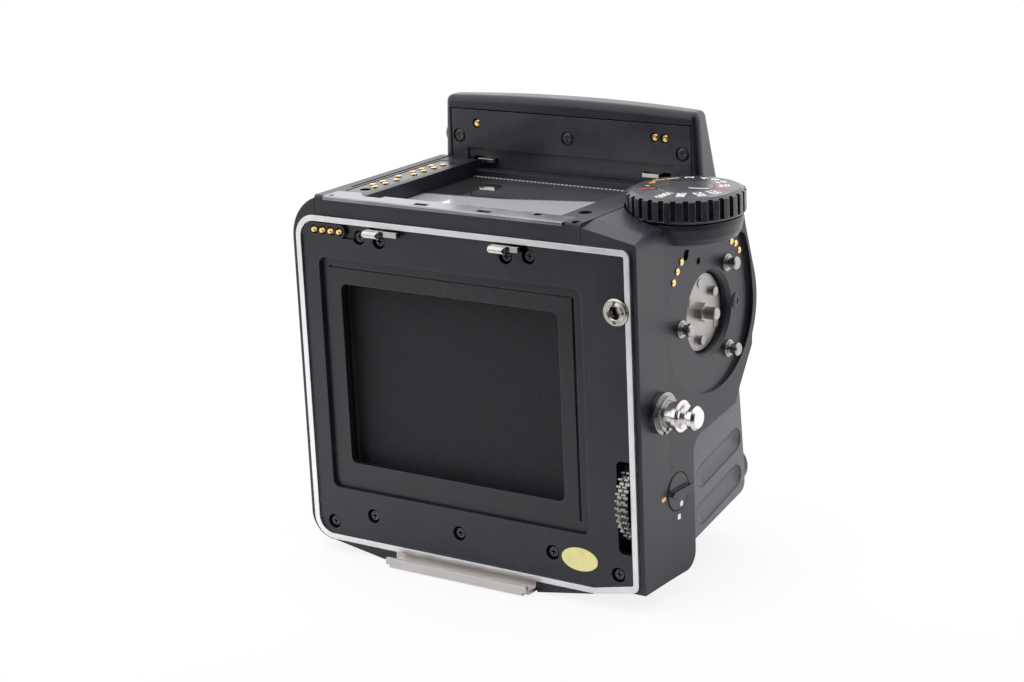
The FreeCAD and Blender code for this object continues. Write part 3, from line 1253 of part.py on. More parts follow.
contact_spots = [(9.2, 75.1), (10.9, 73.3), (12.5, 71.2), (-13.2, 74.8), (-15.1, 73.9), (-16.7, 72.0)]
lean = (d.flare_out - d.right_face) / (d.flare_start + d.side_nose)
side_dots = [contact("-X", side_point(as_size(y), as_size(z),
    -(d.flare_start + 2 - y) * lean if y > 0 else 0), 0.25,
                     d.gold_radius * 0.85)
             for y, z in contact_spots]
part("electrical_contacts", group(*pins, *dots, *hood_dots, *side_dots))
side_screw = screw("-X", side_point(as_size(-14.5), as_size(60.8)), as_size(1.7), as_size(0.5))


def strap_stud(direction, at):
    """Strap stud: pin through the wall, barrel, collars and round head."""
    return turned(direction, at, [
        (0, -4.2), (1.5, -4.2), (1.5, 0), (1.5, 0.05), (2.95, 0.05), (2.95, 4.6), (3.5, 4.6), (3.5, 5.6),
        (2.8, 5.6),
        (2.8, 6.4), (1.7, 6.4), (1.7, 7.6), (2.65, 7.9), (2.65, 9.0), (2.1, 9.7), (0, 9.9)])


def strap_ring(direction, at, gap_side):
    """Split clamp ring round the foot of the strap stud."""
    ring = turned(direction, at, [(3.02, 0.05), (4.65, 0.05), (4.65, 1.5), (3.9, 1.5), (3.9, 2.3),
        (3.02, 2.3)])
    sign = -1 if direction == "-X" else 1
    low_x = at[0] + (sign * 3 if sign < 0 else 0.0)
    slit = slab((low_x, low_x + 3.0), (at[1] + 0.2, at[1] + 1.3) if gap_side else (at[1] - 1.3,
        at[1] - 0.2),
                (at[2] - 6, at[2] - 1.5))
    return cut(ring, slit)


right_strap = side_point(d.strap_y, d.strap_z)
left_strap = (d.left_face, d.strap_y - 10, d.strap_z)
part("strap_studs", group(strap_stud("-X", right_strap), strap_stud("X", left_strap)))
part("strap_rings", group(strap_ring("-X", right_strap, True), strap_ring("X", left_strap, False)))

# Multi-exposure lever: a flush disc with a raised tongue that points forwards
lever_at = (-d.right_face + 0.85, d.lever_y, d.lever_z)
lever_disc = turned("-X", lever_at, [
    (0, -1.2), (1.5, -1.2), (1.5, 0), (d.lever_radius, 0), (d.lever_radius, 0.95),
    (d.lever_radius - 0.15, 1.1), (0, 1.1)])
tongue = padded("YZ", -d.right_face - 1.2, 1.2, [
    (d.lever_y + 4.0, d.lever_z), (d.lever_y + 2.8, d.lever_z + 0.7), (d.lever_y - 4.7, d.lever_z + 0.6),
    (d.lever_y - 4.9, d.lever_z - 0.8), (d.lever_y + 0.7, d.lever_z - 1.6)])
tongue_lift = slab((-d.right_face - 0.45, -d.right_face + 2),
    (d.lever_y - 9, d.lever_y - d.lever_radius + 0.4),
                   (d.lever_z - 3, d.lever_z + 3))
part("multi_exposure_lever", joined(lever_disc, cut(tongue, tongue_lift)))


# Front housing, lens mount and what is on them

front_outline = [
    (-d.right_seam + 0.2, 3.4), (-20.5, 1.2), (22.7, 1.2), (d.left_seam, 3.4),
    (d.left_seam, deck_low - 0.1),
    (-d.right_seam + 0.2, deck_low - 0.1)]
front_block = padded("XZ", d.box_front + 0.1, d.front_face - d.box_front - 0.1, front_outline)
lip_block = padded("XZ", d.side_front + gap, d.box_front - d.side_front + 0.1, front_outline)
above_lip = slab((-60, 60), (-d.front_face - 1, 0), (d.box_low - 0.3, d.deck_top + 9))
lower_lip = cut(lip_block, above_lip)
skirt_low = 3.0 + d.base_thick
side_skirts = [slab(x, (-d.box_front - 0.2, -d.side_front - 0.05), (skirt_low, deck_low - 0.1)) for x in (
    (d.box_half + 0.3, d.left_seam), (-d.right_seam + 0.2, -d.box_half - 0.3))]
screw_circle = (d.mount_outer + d.throat_radius) / 2
mount_spots = [(screw_circle * math.sin(math.radians(angle)),
    screw_circle * math.cos(math.radians(angle)))
               for angle in (0, 60, 120, 180, 300)]
lock_spot = (-screw_circle * 0.866, d.axis_height - screw_circle * 0.5)
boss = rod("-Y", (0, -d.front_face + 0.5, d.axis_height), d.boss_radius,
    d.mount_face - d.ring_thick - d.front_face + 0.5)
throat = rod("-Y", (0, -d.box_front + 3, d.axis_height), d.throat_radius + 1.0, 12)
boss_trim = slab((-50, 50), (-d.mount_face - 3, -d.front_face - 0.01), (deck_low - 0.1, 120))
lock_bore = rod("-Y", (lock_spot[0], -d.front_face + 2.0, lock_spot[1]), as_size(1.25), 8)
button_hole = rod("-Y", (34.0, -d.front_face + 3.2, 16.0), as_size(3.1), 6)
mirror_lever_bore = rod("-Y", (33.4, -d.front_face + 3.2, 74.0), as_size(1.06), 6)
part("front_housing", cut(joined(front_block, lower_lip, boss, *side_skirts), throat, boss_trim,
    lock_bore, button_hole, mirror_lever_bore))

mount_back = -d.mount_face + d.ring_thick
ring = turned("-Y", (0, mount_back - gap, d.axis_height), [
    (d.throat_radius, 0), (d.mount_outer, 0), (d.mount_outer, d.ring_thick - 0.3 - gap),
    (d.mount_outer - 0.3, d.ring_thick - gap),
    (d.throat_radius + 0.4, d.ring_thick - gap), (d.throat_radius, d.ring_thick - 0.4 - gap)])
sinks = [rod("-Y", (x, mount_back + 1, d.axis_height + z), as_size(1.3), 4) for x, z in mount_spots]
lock_way = rod("-Y", (lock_spot[0], mount_back + 1, lock_spot[1]), as_size(1.25), 4)
part("lens_mount_ring", cut(ring, lock_way, *sinks))
mount_screws = [screw("-Y", (x, mount_back - gap, d.axis_height + z), as_size(1.2), as_size(0.9))
                for x, z in mount_spots]
part("lens_lock_pin", turned("-Y", (lock_spot[0], -d.front_face - 0.4, lock_spot[1]), [
    (0, 0), (1.2, 0), (1.2, d.mount_face - d.front_face + 0.6), (0.8, d.mount_face - d.front_face + 1.0),
    (0, d.mount_face - d.front_face + 1.0)]))
part("lens_release_button", turned("-Y", (34.0, -d.front_face + 0.9, 16.0), [
    (0, 0), (3.0, 0), (3.0, 3.8), (2.4, 4.4), (0, 4.2)]))
mirror_lever = turned("-Y", (33.4, -d.front_face + 2.6, 74.0), [
    (0, 0), (1.0, 0), (1.0, 3.0), (2.1, 3.0), (2.1, 4.4), (0, 4.4)])
mirror_lever_arm = slab((32.5, 34.3), (-d.front_face - 1.8, -d.front_face - 0.5), (67.2, 74.0))
part("mirror_lockup_lever", joined(mirror_lever, mirror_lever_arm))

part("release_lock_collar", turned("-Y", (-d.release_x, release_face - 0.25, d.release_z), [
    (3.3, 0), (4.9, 0), (4.9, 2.6), (4.5, 3.0), (3.3, 3.0)]))
part("shutter_release_button", turned("-Y", (-d.release_x, release_face + 5.2, d.release_z), [
    (0, 0), (2.24, 0), (2.24, 5.6), (3.0, 5.6), (3.0, 8.3), (2.4, 8.9), (0, 9.0)]))

part("sync_socket", turned("X", (d.left_face - 3.0, -12.0, 30.0), [
    (0.6, 0), (3.05, 0), (3.05, 3.3), (2.6, 3.6), (2.0, 3.6), (2.0, 1.0), (0.6, 1.0)]))
part("cable_release_socket", turned("X", (d.left_face - 3.0, -12.0, 18.0), [
    (0, 0), (2.35, 0), (2.35, 3.3), (1.9, 3.5), (1.5, 3.5), (0.9, 1.2), (0, 1.2)]))


# Underside: tripod socket, battery and its door, base screws

part("tripod_socket", turned("Z", (0, 0, 0), [
    (d.socket_radius, 0), (d.socket_flange - 1.3, 0), (d.socket_flange - 1.3, d.base_thick + gap),
    (d.socket_flange, d.base_thick + gap), (d.socket_flange, d.base_thick + 1.4),
    (d.socket_flange - 1.0, d.socket_deep + 1.0),
    (0, d.socket_deep + 1.0), (0, d.socket_deep), (d.socket_radius, d.socket_deep)]))
part("battery", turned("-Y", (d.door_x, d.door_back - 2.4, d.battery_radius + d.base_thick + 0.3), [
    (0, 0), (d.battery_radius - 0.4, 0), (d.battery_radius, 0.4),
    (d.battery_radius, d.battery_long - 0.8),
    (d.battery_radius - 0.4, d.battery_long - 0.4), (2.4, d.battery_long - 0.4), (2.4, d.battery_long),
    (0, d.battery_long)]))
door_thick = d.base_thick - 0.8
door_hinge = d.door_back - d.run_gap - door_thick / 2
door_edges = (d.door_x - d.door_half + d.run_gap, d.door_x + d.door_half - d.run_gap)
door_slab = slab(door_edges, (-d.door_front + d.run_gap, door_hinge), (0, door_thick))
door_roll = rod("X", (door_edges[0], door_hinge, door_thick / 2), door_thick / 2,
    door_edges[1] - door_edges[0])
door = joined(door_slab, door_roll)
door_ridges = [slab((d.door_x - 4, d.door_x + 4), (y, y + 0.7), (-0.5, 0.5)) for y in (-14.6, -12.9,
    -11.2)]
part("battery_door", cut(door, *door_ridges))
base_spots = [(-17, -16), (-17, 18), (5, 18)]
base_screws = [screw("-Z", (as_size(x), as_size(y), as_size(0.95)), as_size(0.98), as_size(0.9)) for x,
    y in base_spots]
part("body_screws", group(*rear_screws, *hood_screws, side_screw, *mount_screws, *base_screws))

board_in = d.box_half + gap
board = slab((board_in, board_in + 1.2), (-18, d.box_back - 0.3), (d.box_low + 2, 74))
chips = [slab((board_in + 1.2, board_in + 2.6), (y, y + w), (z, z + w))
         for y, z, w in ((-12, 50, 12), (1.5, 44, 9), (2, 60, 8), (-10, 34, 8))]
part("circuit_board", joined(board, *chips))


# Check and export

doc.recompute()
for obj in doc.Objects:
    if "Invalid" in obj.State or "Error" in obj.State:
        users = [parent.Label for parent in obj.InListRecursive][:3]
        raise RuntimeError("failed object: " + obj.Name + " in " + str(users))
names = [obj.Label for obj in PARTS]
if len(set(names)) != len(names) or len(names) > 60:
    raise RuntimeError("labels are not unique or too many pieces: %d" % len(names))
for obj in PARTS:
    if obj.Shape.isNull() or not obj.Shape.isValid() or not obj.Shape.Solids:
        raise RuntimeError("bad shape: " + obj.Label)
os.makedirs("parts", exist_ok=True)
for obj in PARTS:
    obj.Shape.exportStep("parts/" + obj.Label + ".step")
    print(obj.Label, len(obj.Shape.Solids), round(obj.Shape.Volume, 2))
print(len(PARTS), "pieces")
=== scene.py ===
import math

import bmesh
import bpy
from mathutils import Matrix, Vector


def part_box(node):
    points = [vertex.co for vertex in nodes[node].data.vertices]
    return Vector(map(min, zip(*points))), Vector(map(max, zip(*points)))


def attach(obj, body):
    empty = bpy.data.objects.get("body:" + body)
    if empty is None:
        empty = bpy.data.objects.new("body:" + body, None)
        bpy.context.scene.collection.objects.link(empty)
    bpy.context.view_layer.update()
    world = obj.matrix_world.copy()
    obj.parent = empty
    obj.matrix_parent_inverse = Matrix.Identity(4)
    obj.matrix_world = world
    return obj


# Looks for a medium format film camera body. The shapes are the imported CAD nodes; this script
# gives them their materials, adds the printed marks, and sets up floor, light and camera.

MM = 0.001

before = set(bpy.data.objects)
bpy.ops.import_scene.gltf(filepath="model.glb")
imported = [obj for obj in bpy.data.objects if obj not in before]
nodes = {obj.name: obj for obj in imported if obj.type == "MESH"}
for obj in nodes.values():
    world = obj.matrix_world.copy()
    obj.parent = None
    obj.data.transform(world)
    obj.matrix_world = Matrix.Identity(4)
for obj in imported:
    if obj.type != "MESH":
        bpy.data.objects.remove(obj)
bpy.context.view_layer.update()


# Node materials

class Surface:
    """A node material built in steps: each step changes its colour, roughness or height."""

    def __init__(self, name, colour, roughness, metallic=0.0):
        self.material = bpy.data.materials.new(name)
        self.material.use_nodes = True
        self.tree = self.material.node_tree
        self.tree.nodes.clear()
        self.colour = (*colour, 1.0)
        self.roughness = roughness
        self.metallic = metallic
        self.height = None
        place = self.add("ShaderNodeTexCoord")
        self.place = self.vector("SCALE", place.outputs["Object"], scale=1 / MM)

    def add(self, kind, **settings):
        """New node of a kind, with its settings."""
        node = self.tree.nodes.new(kind)
        for key, value in settings.items():
            setattr(node, key, value)
        return node

    def feed(self, socket, value):
        """Link a socket to the input, or set the input to a plain value."""
        if isinstance(value, bpy.types.NodeSocket):
            self.tree.links.new(value, socket)
        else:
            socket.default_value = value

    def vector(self, operation, a, b=None, scale=None):
        """Result of a vector operation."""
        node = self.add("ShaderNodeVectorMath", operation=operation)
        self.feed(node.inputs[0], a)
        if b is not None:
            self.feed(node.inputs[1], b)
        if scale is not None:
            self.feed(node.inputs["Scale"], scale)
        return node.outputs["Value" if operation in ("DOT_PRODUCT", "LENGTH") else "Vector"]

    def number(self, operation, a, b=0.0, clamp=False):
        """Result of an operation on numbers."""
        node = self.add("ShaderNodeMath", operation=operation, use_clamp=clamp)
        self.feed(node.inputs[0], a)
        self.feed(node.inputs[1], b)
        return node.outputs[0]

    def remap(self, value, low, high, to_low=0.0, to_high=1.0):
        """Value carried from one range to another, and held inside it."""
        node = self.add("ShaderNodeMapRange", clamp=True)
        for socket, given in zip(node.inputs, (value, low, high, to_low, to_high)):
            self.feed(socket, given)
        return node.outputs[0]

    def times(self, first, *others):
        """Product of several numbers or sockets."""
        for other in others:
            first = self.number("MULTIPLY", first, other)
        return first

    def axes(self, source=None):
        """The X, Y and Z parts of a vector, or of the place in millimetres."""
        node = self.add("ShaderNodeSeparateXYZ")
        self.feed(node.inputs[0], self.place if source is None else source)
        return node.outputs

    def facing(self):
        """Direction in which the surface looks."""
        return self.add("ShaderNodeNewGeometry").outputs["Normal"]

    def blend(self, share, a, b):
        """Mix of two colours."""
        node = self.add("ShaderNodeMix", data_type="RGBA")
        for index, value in ((0, share), (6, a), (7, b)):
            self.feed(node.inputs[index], value)
        return node.outputs[2]

    def shade(self, amount):
        """Multiply the colour by a number between nodes."""
        plain = self.colour[:3] if isinstance(self.colour, tuple) else self.colour
        self.colour = self.vector("SCALE", plain, scale=amount)

    def paint(self, share, colour):
        """Lay a second colour over the first where share is 1."""
        self.colour = self.blend(share, self.colour, (*colour, 1.0))

    def noise(self, size, detail, stretch=(1, 1, 1), shift=0.0):
        """Noise between 0 and 1 whose features are about size millimetres wide."""
        where = self.vector("MULTIPLY", self.place, tuple(part / size for part in stretch))
        if shift:
            where = self.vector("ADD", where, (shift, shift, shift))
        node = self.add("ShaderNodeTexNoise")
        self.feed(node.inputs["Vector"], where)
        node.inputs["Scale"].default_value = 1.0
        node.inputs["Detail"].default_value = detail
        return node.outputs[0]

    def mottle(self, size, amount, rough):
        """Slow changes of tone and gloss, as on a handled surface."""
        value = self.noise(size, 3.0)
        self.shade(self.remap(value, 0.3, 0.7, 1 - amount, 1 + amount))
        self.rougher(self.remap(value, 0.3, 0.7, -rough, rough))

    def rougher(self, amount):
        """Add to the roughness."""
        self.roughness = self.number("ADD", self.roughness, amount, clamp=True)

    def raise_by(self, height):
        """Add to the height, in millimetres."""
        self.height = height if self.height is None else self.number("ADD", self.height, height)

    def grain(self, size, depth, tone, detail=1.0, stretch=(1, 1, 1)):
        """Fine moulded grain, or a brushed one when it is stretched."""
        value = self.noise(size, detail, stretch)
        self.raise_by(self.remap(value, 0.25, 0.75, 0.0, depth))
        self.shade(self.remap(value, 0.25, 0.75, 1 - tone, 1 + tone))

    def wave(self, value, pitch):
        """Sine that repeats every pitch millimetres."""
        return self.number("SINE", self.times(value, 2 * math.pi / pitch))

    def rings(self, centre, axis, pitch, depth, tone):
        """Turned rings round an axis, such as a lathe leaves."""
        away = self.vector("SUBTRACT", self.place, tuple(centre))
        flat = self.vector("MULTIPLY", away, tuple(0.0 if name == axis else 1.0 for name in "XYZ"))
        reach = self.vector("LENGTH", flat)
        broken = self.times(self.wave(reach, pitch), self.noise(1.2, 2.0))
        self.raise_by(self.times(broken, depth))
        self.shade(self.remap(broken, -0.6, 0.6, 1 - tone, 1 + tone))

    def specks(self, spacing, share, colour, width=0.12, rough=0.0):
        """Small specks of dust, or nicks, of which only a share of the cells has one."""
        cells = self.add("ShaderNodeTexVoronoi", feature="F1")
        self.feed(cells.inputs["Vector"], self.place)
        cells.inputs["Scale"].default_value = 1 / spacing
        near = self.remap(cells.outputs["Distance"], width * 0.5, width, 1.0, 0.0)
        split = self.add("ShaderNodeSeparateColor")
        self.feed(split.inputs[0], cells.outputs["Color"])
        chosen = self.number("LESS_THAN", split.outputs[0], share)
        mask = self.times(near, chosen)
        self.paint(self.times(mask, 0.8), colour)
        if rough:
            self.rougher(self.times(mask, rough))

    def scuffs(self, stretch, colour, share):
        """Faint long rub marks along one direction."""
        value = self.noise(1.0, 2.0, stretch, 7.3)
        patch = self.remap(self.noise(14.0, 2.0, shift=3.1), 0.48, 0.62)
        mask = self.times(self.remap(value, 0.62, 0.72), patch)
        self.paint(self.times(mask, share), colour)
        self.rougher(self.times(mask, 0.15))

    def distance_from_line(self, start, end):
        """Distance in millimetres from a line between two (Y, Z) points, seen along X."""
        run = Vector((0, end[0] - start[0], end[1] - start[1]))
        flat = self.vector("MULTIPLY", self.place, (0, 1, 1))
        away = self.vector("SUBTRACT", flat, (0, *start))
        share = self.vector("DOT_PRODUCT", away, tuple(run / run.length_squared))
        held = self.number("ADD", share, 0.0, clamp=True)
        along = self.vector("SCALE", tuple(run), scale=held)
        return self.vector("LENGTH", self.vector("SUBTRACT", away, along))

    def soft_normal(self, radius):
        """Normal that rounds the edges by a radius in millimetres."""
        node = self.add("ShaderNodeBevel", samples=6)
        node.inputs["Radius"].default_value = radius * MM
        return node.outputs[0]

    def worn_edges(self, colour, width, share, shine=-0.08):
        """Edges rubbed lighter and smoother, in broken stretches."""
        turn = self.vector("DOT_PRODUCT", self.soft_normal(width), self.facing())
        edge = self.remap(turn, 0.99, 0.86)
        broken = self.remap(self.noise(2.2, 3.0, shift=11.0), 0.35, 0.62, 0.25, 1.0)
        mask = self.times(edge, broken, share)
        self.paint(mask, colour)
        self.rougher(self.times(mask, shine))

    def close(self, round_edge=0.22, specular=0.5, ior=1.5, coat=0.0, coat_rough=0.05, sheen=0.0):
        """Join the colour, roughness and height in the shader, and return the material."""
        shader = self.add("ShaderNodeBsdfPrincipled")
        self.feed(shader.inputs["Base Color"], self.colour)
        self.feed(shader.inputs["Roughness"], self.roughness)
        self.feed(shader.inputs["Metallic"], self.metallic)
        shader.inputs["Specular IOR Level"].default_value = specular
        shader.inputs["IOR"].default_value = ior
        shader.inputs["Coat Weight"].default_value = coat
        shader.inputs["Coat Roughness"].default_value = coat_rough
        shader.inputs["Sheen Weight"].default_value = sheen
        normal = self.soft_normal(round_edge)
        if self.height is not None:
            bump = self.add("ShaderNodeBump")
            bump.inputs["Distance"].default_value = MM
            self.feed(bump.inputs["Height"], self.height)
            self.feed(bump.inputs["Normal"], normal)
            normal = bump.outputs[0]
        self.feed(shader.inputs["Normal"], normal)
        output = self.add("ShaderNodeOutputMaterial")
        self.feed(output.inputs["Surface"], shader.outputs[0])
        return self.material


BLACK = (0.0165, 0.0170, 0.0268)
RUBBED = (0.085, 0.085, 0.09)
DUST = (0.16, 0.16, 0.165)


def middle(name):
    """Centre of a CAD node in millimetres."""
    low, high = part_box(name)
    return [(a + b) / 2 / MM for a, b in zip(low, high)]


def moulding(name, colour=BLACK, roughness=0.36):
    """Start of a moulding's material, still without its grain and wear."""
    s = Surface(name, colour, roughness)
    s.mottle(18.0, 0.2, 0.04)
    return s


def weather(s):
    """Grain, dust and rubbed edges of a moulding."""
    s.grain(0.3, 0.011, 0.2)
    s.specks(3.1, 0.05, DUST, 0.035)
    s.worn_edges(RUBBED, 0.3, 0.5)


def moulded_black():
    s = moulding("moulded_black")
    weather(s)
    return s.close()


# The finger grip of the winding side has two grooves: each one's middle line as (Y, Z) points,
# half their width, how far the painted highlight on their floor takes to fade, and half the line
# of painted shade at their edge
GROOVES = (((-2.0, 22.9), (-17.0, 26.7)), ((-1.7, 14.1), (-16.9, 17.9)))
GROOVE_HALF = 2.7
GROOVE_FADE = 1.2
EDGE_SHADE_HALF = 0.26
GRIP_PALE = (0.116, 0.118, 0.139)
GROOVE_HIGHLIGHT = (0.17, 0.173, 0.19)
GROOVE_EDGE_SHADE = (0.018, 0.0185, 0.025)


def grip_share(s):
    """1 on the sunk face of the finger grip, which looks to the winding side."""
    x, y, z = s.axes()
    sunk = s.remap(x, -47.9, -47.3)
    inside = s.remap(x, -44.0, -44.5)
    ahead = s.remap(y, 6.1, 5.9)
    below = s.remap(z, 47.0, 45.5)
    outward = s.remap(s.axes(s.facing())[0], -0.3, -0.7)
    return s.times(sunk, inside, ahead, below, outward)


def gripped_black():
    """Winding side moulding: its sunk grip is paler, its two grooves have painted highlight and
    shade.
    """
    s = moulding("gripped_black")
    grip = grip_share(s)
    s.paint(grip, GRIP_PALE)
    weather(s)
    for start, end in GROOVES:
        reach = s.distance_from_line(start, end)
        # Painted highlight: the middle of each groove's floor is painted paler, where the hollow
        # catches the light.
        floor_highlight = s.remap(reach, GROOVE_HALF, GROOVE_HALF - GROOVE_FADE)
        s.paint(s.times(floor_highlight, grip, 0.3), GROOVE_HIGHLIGHT)
        # Painted shade: a dark line is painted along each groove's edge.
        off = s.number("ABSOLUTE", s.number("SUBTRACT", reach, GROOVE_HALF))
        s.paint(s.times(s.remap(off, EDGE_SHADE_HALF, 0.1), grip, 0.8), GROOVE_EDGE_SHADE)
    return s.close()


def hood_moulding():
    """Moulding of the hood, whose winding side is painted greyer than the rest as a painted
    highlight.
    """
    s = moulding("hood_moulding", (0.0165, 0.0168, 0.026), 0.3)
    # Painted highlight: the flank that faces the winding side is painted grey, standing for the light
    # it catches.
    painted_highlight_side = s.remap(s.axes(s.facing())[0], -0.6, -0.98)
    s.paint(painted_highlight_side, (0.08, 0.081, 0.1))
    weather(s)
    return s.close()


def painted_plate(name, colour):
    s = Surface(name, colour, 0.34)
    s.mottle(12.0, 0.3, 0.06)
    s.grain(0.22, 0.004, 0.12)
    s.scuffs((2.2, 2.2, 0.12), (0.05, 0.05, 0.052), 0.45)
    s.specks(2.7, 0.07, DUST, 0.03)
    s.worn_edges(RUBBED, 0.28, 0.55)
    return s.close()


def smooth_black(name, roughness=0.22, colour=(0.0125, 0.013, 0.021), specular=0.5):
    s = Surface(name, colour, roughness)
    s.mottle(9.0, 0.2, 0.05)
    s.grain(0.4, 0.002, 0.08)
    s.specks(2.4, 0.06, DUST, 0.03)
    s.worn_edges(RUBBED, 0.25, 0.5)
    return s.close(specular=specular)


BEAD_PITCH = 1.1


def dull_black(name, beads_ahead_of=None):
    """Matt black of inner pieces, with a row of pale beads ahead of a given Y."""
    s = Surface(name, (0.012, 0.012, 0.0125), 0.6)
    s.mottle(10.0, 0.25, 0.08)
    if beads_ahead_of is not None:
        x, y, _ = s.axes()
        bead = s.remap(s.wave(x, BEAD_PITCH), -0.6, 0.6, 0.15, 0.9)
        s.paint(s.times(bead, s.number("LESS_THAN", y, beads_ahead_of)), (0.75, 0.76, 0.78))
    s.grain(0.25, 0.008, 0.2)
    s.worn_edges((0.05, 0.05, 0.052), 0.25, 0.4)
    return s.close(specular=0.35)


def dial_black():
    s = Surface("dial_black", (0.024, 0.0245, 0.034), 0.27)
    s.mottle(6.0, 0.2, 0.05)
    s.grain(0.25, 0.007, 0.15)
    s.specks(1.9, 0.08, DUST, 0.03)
    s.worn_edges((0.26, 0.26, 0.27), 0.3, 0.8, -0.1)
    return s.close(specular=0.8)


def bright_rim():
    s = Surface("bright_rim", (0.82, 0.82, 0.835), 0.34, 1.0)
    s.mottle(5.0, 0.05, 0.05)
    s.grain(0.35, 0.004, 0.05, 2.0)
    s.specks(2.3, 0.22, (0.16, 0.15, 0.14), 0.055, 0.2)
    s.specks(5.1, 0.3, (0.3, 0.29, 0.28), 0.05, 0.2)
    s.worn_edges((0.5, 0.49, 0.48), 0.25, 0.5, 0.1)
    return s.close(0.18)


def satin_sheet():
    s = Surface("satin_sheet", (0.31, 0.31, 0.33), 0.24, 1.0)
    s.mottle(6.0, 0.12, 0.06)
    s.grain(0.5, 0.003, 0.08, 2.0, (0.1, 1.5, 1.5))
    s.specks(1.7, 0.12, (0.12, 0.12, 0.12), 0.06, 0.2)
    return s.close(0.15)


def satin_nickel(name, colour=(0.6, 0.575, 0.55), roughness=0.2):
    s = Surface(name, colour, roughness, 1.0)
    s.mottle(3.0, 0.1, 0.06)
    s.grain(0.25, 0.002, 0.06)
    s.specks(1.5, 0.08, (0.2, 0.18, 0.16), 0.06, 0.2)
    s.worn_edges((0.8, 0.79, 0.77), 0.2, 0.5)
    return s.close(0.16)


def brushed_bracket():
    s = Surface("brushed_bracket", (0.64, 0.61, 0.6), 0.32, 1.0)
    s.mottle(8.0, 0.06, 0.04)
    s.grain(0.25, 0.003, 0.06, 2.0, (0.05, 1.0, 1.0))
    s.specks(2.1, 0.1, (0.3, 0.28, 0.26), 0.05, 0.2)
    s.worn_edges((0.85, 0.84, 0.82), 0.2, 0.5)
    return s.close(0.16)


def turned_disc():
    s = Surface("turned_disc", (0.44, 0.42, 0.41), 0.4, 1.0)
    s.mottle(6.0, 0.05, 0.04)
    s.rings(middle("coupling_disc"), "X", 0.3, 0.003, 0.05)
    s.specks(1.6, 0.14, (0.2, 0.17, 0.15), 0.07, 0.25)
    s.worn_edges((0.75, 0.73, 0.71), 0.2, 0.5)
    return s.close(0.16)


def milled_steel(name, colour):
    s = Surface(name, colour, 0.3, 1.0)
    s.mottle(2.5, 0.15, 0.08)
    s.grain(0.3, 0.003, 0.1, 2.0, (0.2, 1.0, 1.0))
    s.worn_edges((0.8, 0.79, 0.77), 0.15, 0.5)
    return s.close(0.1)


def mount_chrome():
    s = Surface("mount_chrome", (0.78, 0.78, 0.79), 0.12, 1.0)
    s.mottle(12.0, 0.05, 0.05)
    s.rings(middle("lens_mount_ring"), "Y", 0.35, 0.002, 0.04)
    s.specks(2.8, 0.08, (0.3, 0.29, 0.28), 0.04, 0.2)
    return s.close(0.15)


def gold_contact():
    s = Surface("gold_contact", (0.95, 0.64, 0.27), 0.17, 1.0)
    tarnish = s.remap(s.noise(4.0, 2.0), 0.4, 0.65, 0.0, 0.4)
    s.paint(tarnish, (0.9, 0.5, 0.17))
    s.grain(0.2, 0.002, 0.08)
    s.specks(0.9, 0.15, (0.3, 0.14, 0.05), 0.08, 0.2)
    s.worn_edges((0.98, 0.8, 0.5), 0.2, 0.5)
    return s.close(0.12)


def blackened_screw():
    """Black screws, apart from the bright ones that hold the lens mount ring."""
    s = Surface("blackened_screw", (0.03, 0.03, 0.032), 0.24)
    s.mottle(2.0, 0.3, 0.08)
    s.grain(0.15, 0.002, 0.1)
    s.worn_edges((0.45, 0.44, 0.43), 0.2, 0.9)
    heads_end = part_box("lens_mount_ring")[0].y / MM + 1.6
    on_mount = s.number("LESS_THAN", s.axes()[1], heads_end)
    s.paint(on_mount, (0.6, 0.59, 0.58))
    s.metallic = on_mount
    return s.close(0.1)


WEAVE_PITCH = 0.42


def curtain_cloth():
    """Black cloth with a fine weave across and up."""
    s = Surface("curtain_cloth", (0.0170, 0.0174, 0.0225), 0.72)
    x, _, z = s.axes()
    for way in (x, z):
        s.raise_by(s.times(s.wave(way, WEAVE_PITCH), 0.012))
    s.mottle(8.0, 0.16, 0.05)
    s.grain(0.35, 0.02, 0.35, 2.0)
    s.scuffs((2.4, 1.0, 0.1), (0.034, 0.034, 0.036), 0.35)
    s.specks(2.2, 0.06, (0.07, 0.07, 0.075), 0.03)
    return s.close(specular=0.3, sheen=0.05)


# The screen is painted pale, as painted light, behind a line with one bend: the bend, and the slope
# on each side
PALE_BEND = (4.2, 0.1)
PALE_SLOPES = (0.088, 0.277)


def ground_glass():
    """Focusing screen, dark ahead, and painted pale as painted light where it catches the light."""
    s = Surface("ground_glass", (0.045, 0.047, 0.047), 0.03)
    s.mottle(14.0, 0.15, 0.01)
    x, y, _ = s.axes()
    across = s.number("SUBTRACT", x, PALE_BEND[0])
    bend = s.number("MINIMUM", *[s.times(across, slope) for slope in PALE_SLOPES])
    near = s.number("SUBTRACT", s.number("SUBTRACT", y, PALE_BEND[1]), bend)
    # Painted light: the near part of the screen, out of the hood's shadow, is painted pale.
    lit = s.remap(near, -0.6, 0.6)
    s.paint(lit, (0.6, 0.605, 0.63))
    s.rougher(s.times(lit, 0.2))
    s.grain(0.2, 0.0002, 0.1)
    s.specks(3.2, 0.12, (0.35, 0.36, 0.36), 0.03)
    return s.close(0.1, 0.8, 1.9, coat=1.0, coat_rough=0.02)


def silvered_glass():
    s = Surface("silvered_glass", (0.88, 0.89, 0.9), 0.03, 1.0)
    s.mottle(20.0, 0.03, 0.01)
    s.specks(5.0, 0.1, (0.55, 0.55, 0.55), 0.03, 0.3)
    return s.close(0.08)


def sticker_paper():
    s = Surface("sticker_paper", (0.9, 0.83, 0.36), 0.42)
    s.mottle(3.0, 0.06, 0.05)
    s.grain(0.12, 0.003, 0.05)
    s.specks(1.4, 0.06, (0.45, 0.38, 0.2), 0.04)
    return s.close(0.05, coat=0.2, coat_rough=0.2)


def plated_cell():
    s = Surface("plated_cell", (0.55, 0.55, 0.57), 0.3, 1.0)
    s.mottle(6.0, 0.1, 0.06)
    s.grain(0.3, 0.002, 0.08, 2.0, (1.0, 0.1, 1.0))
    return s.close()


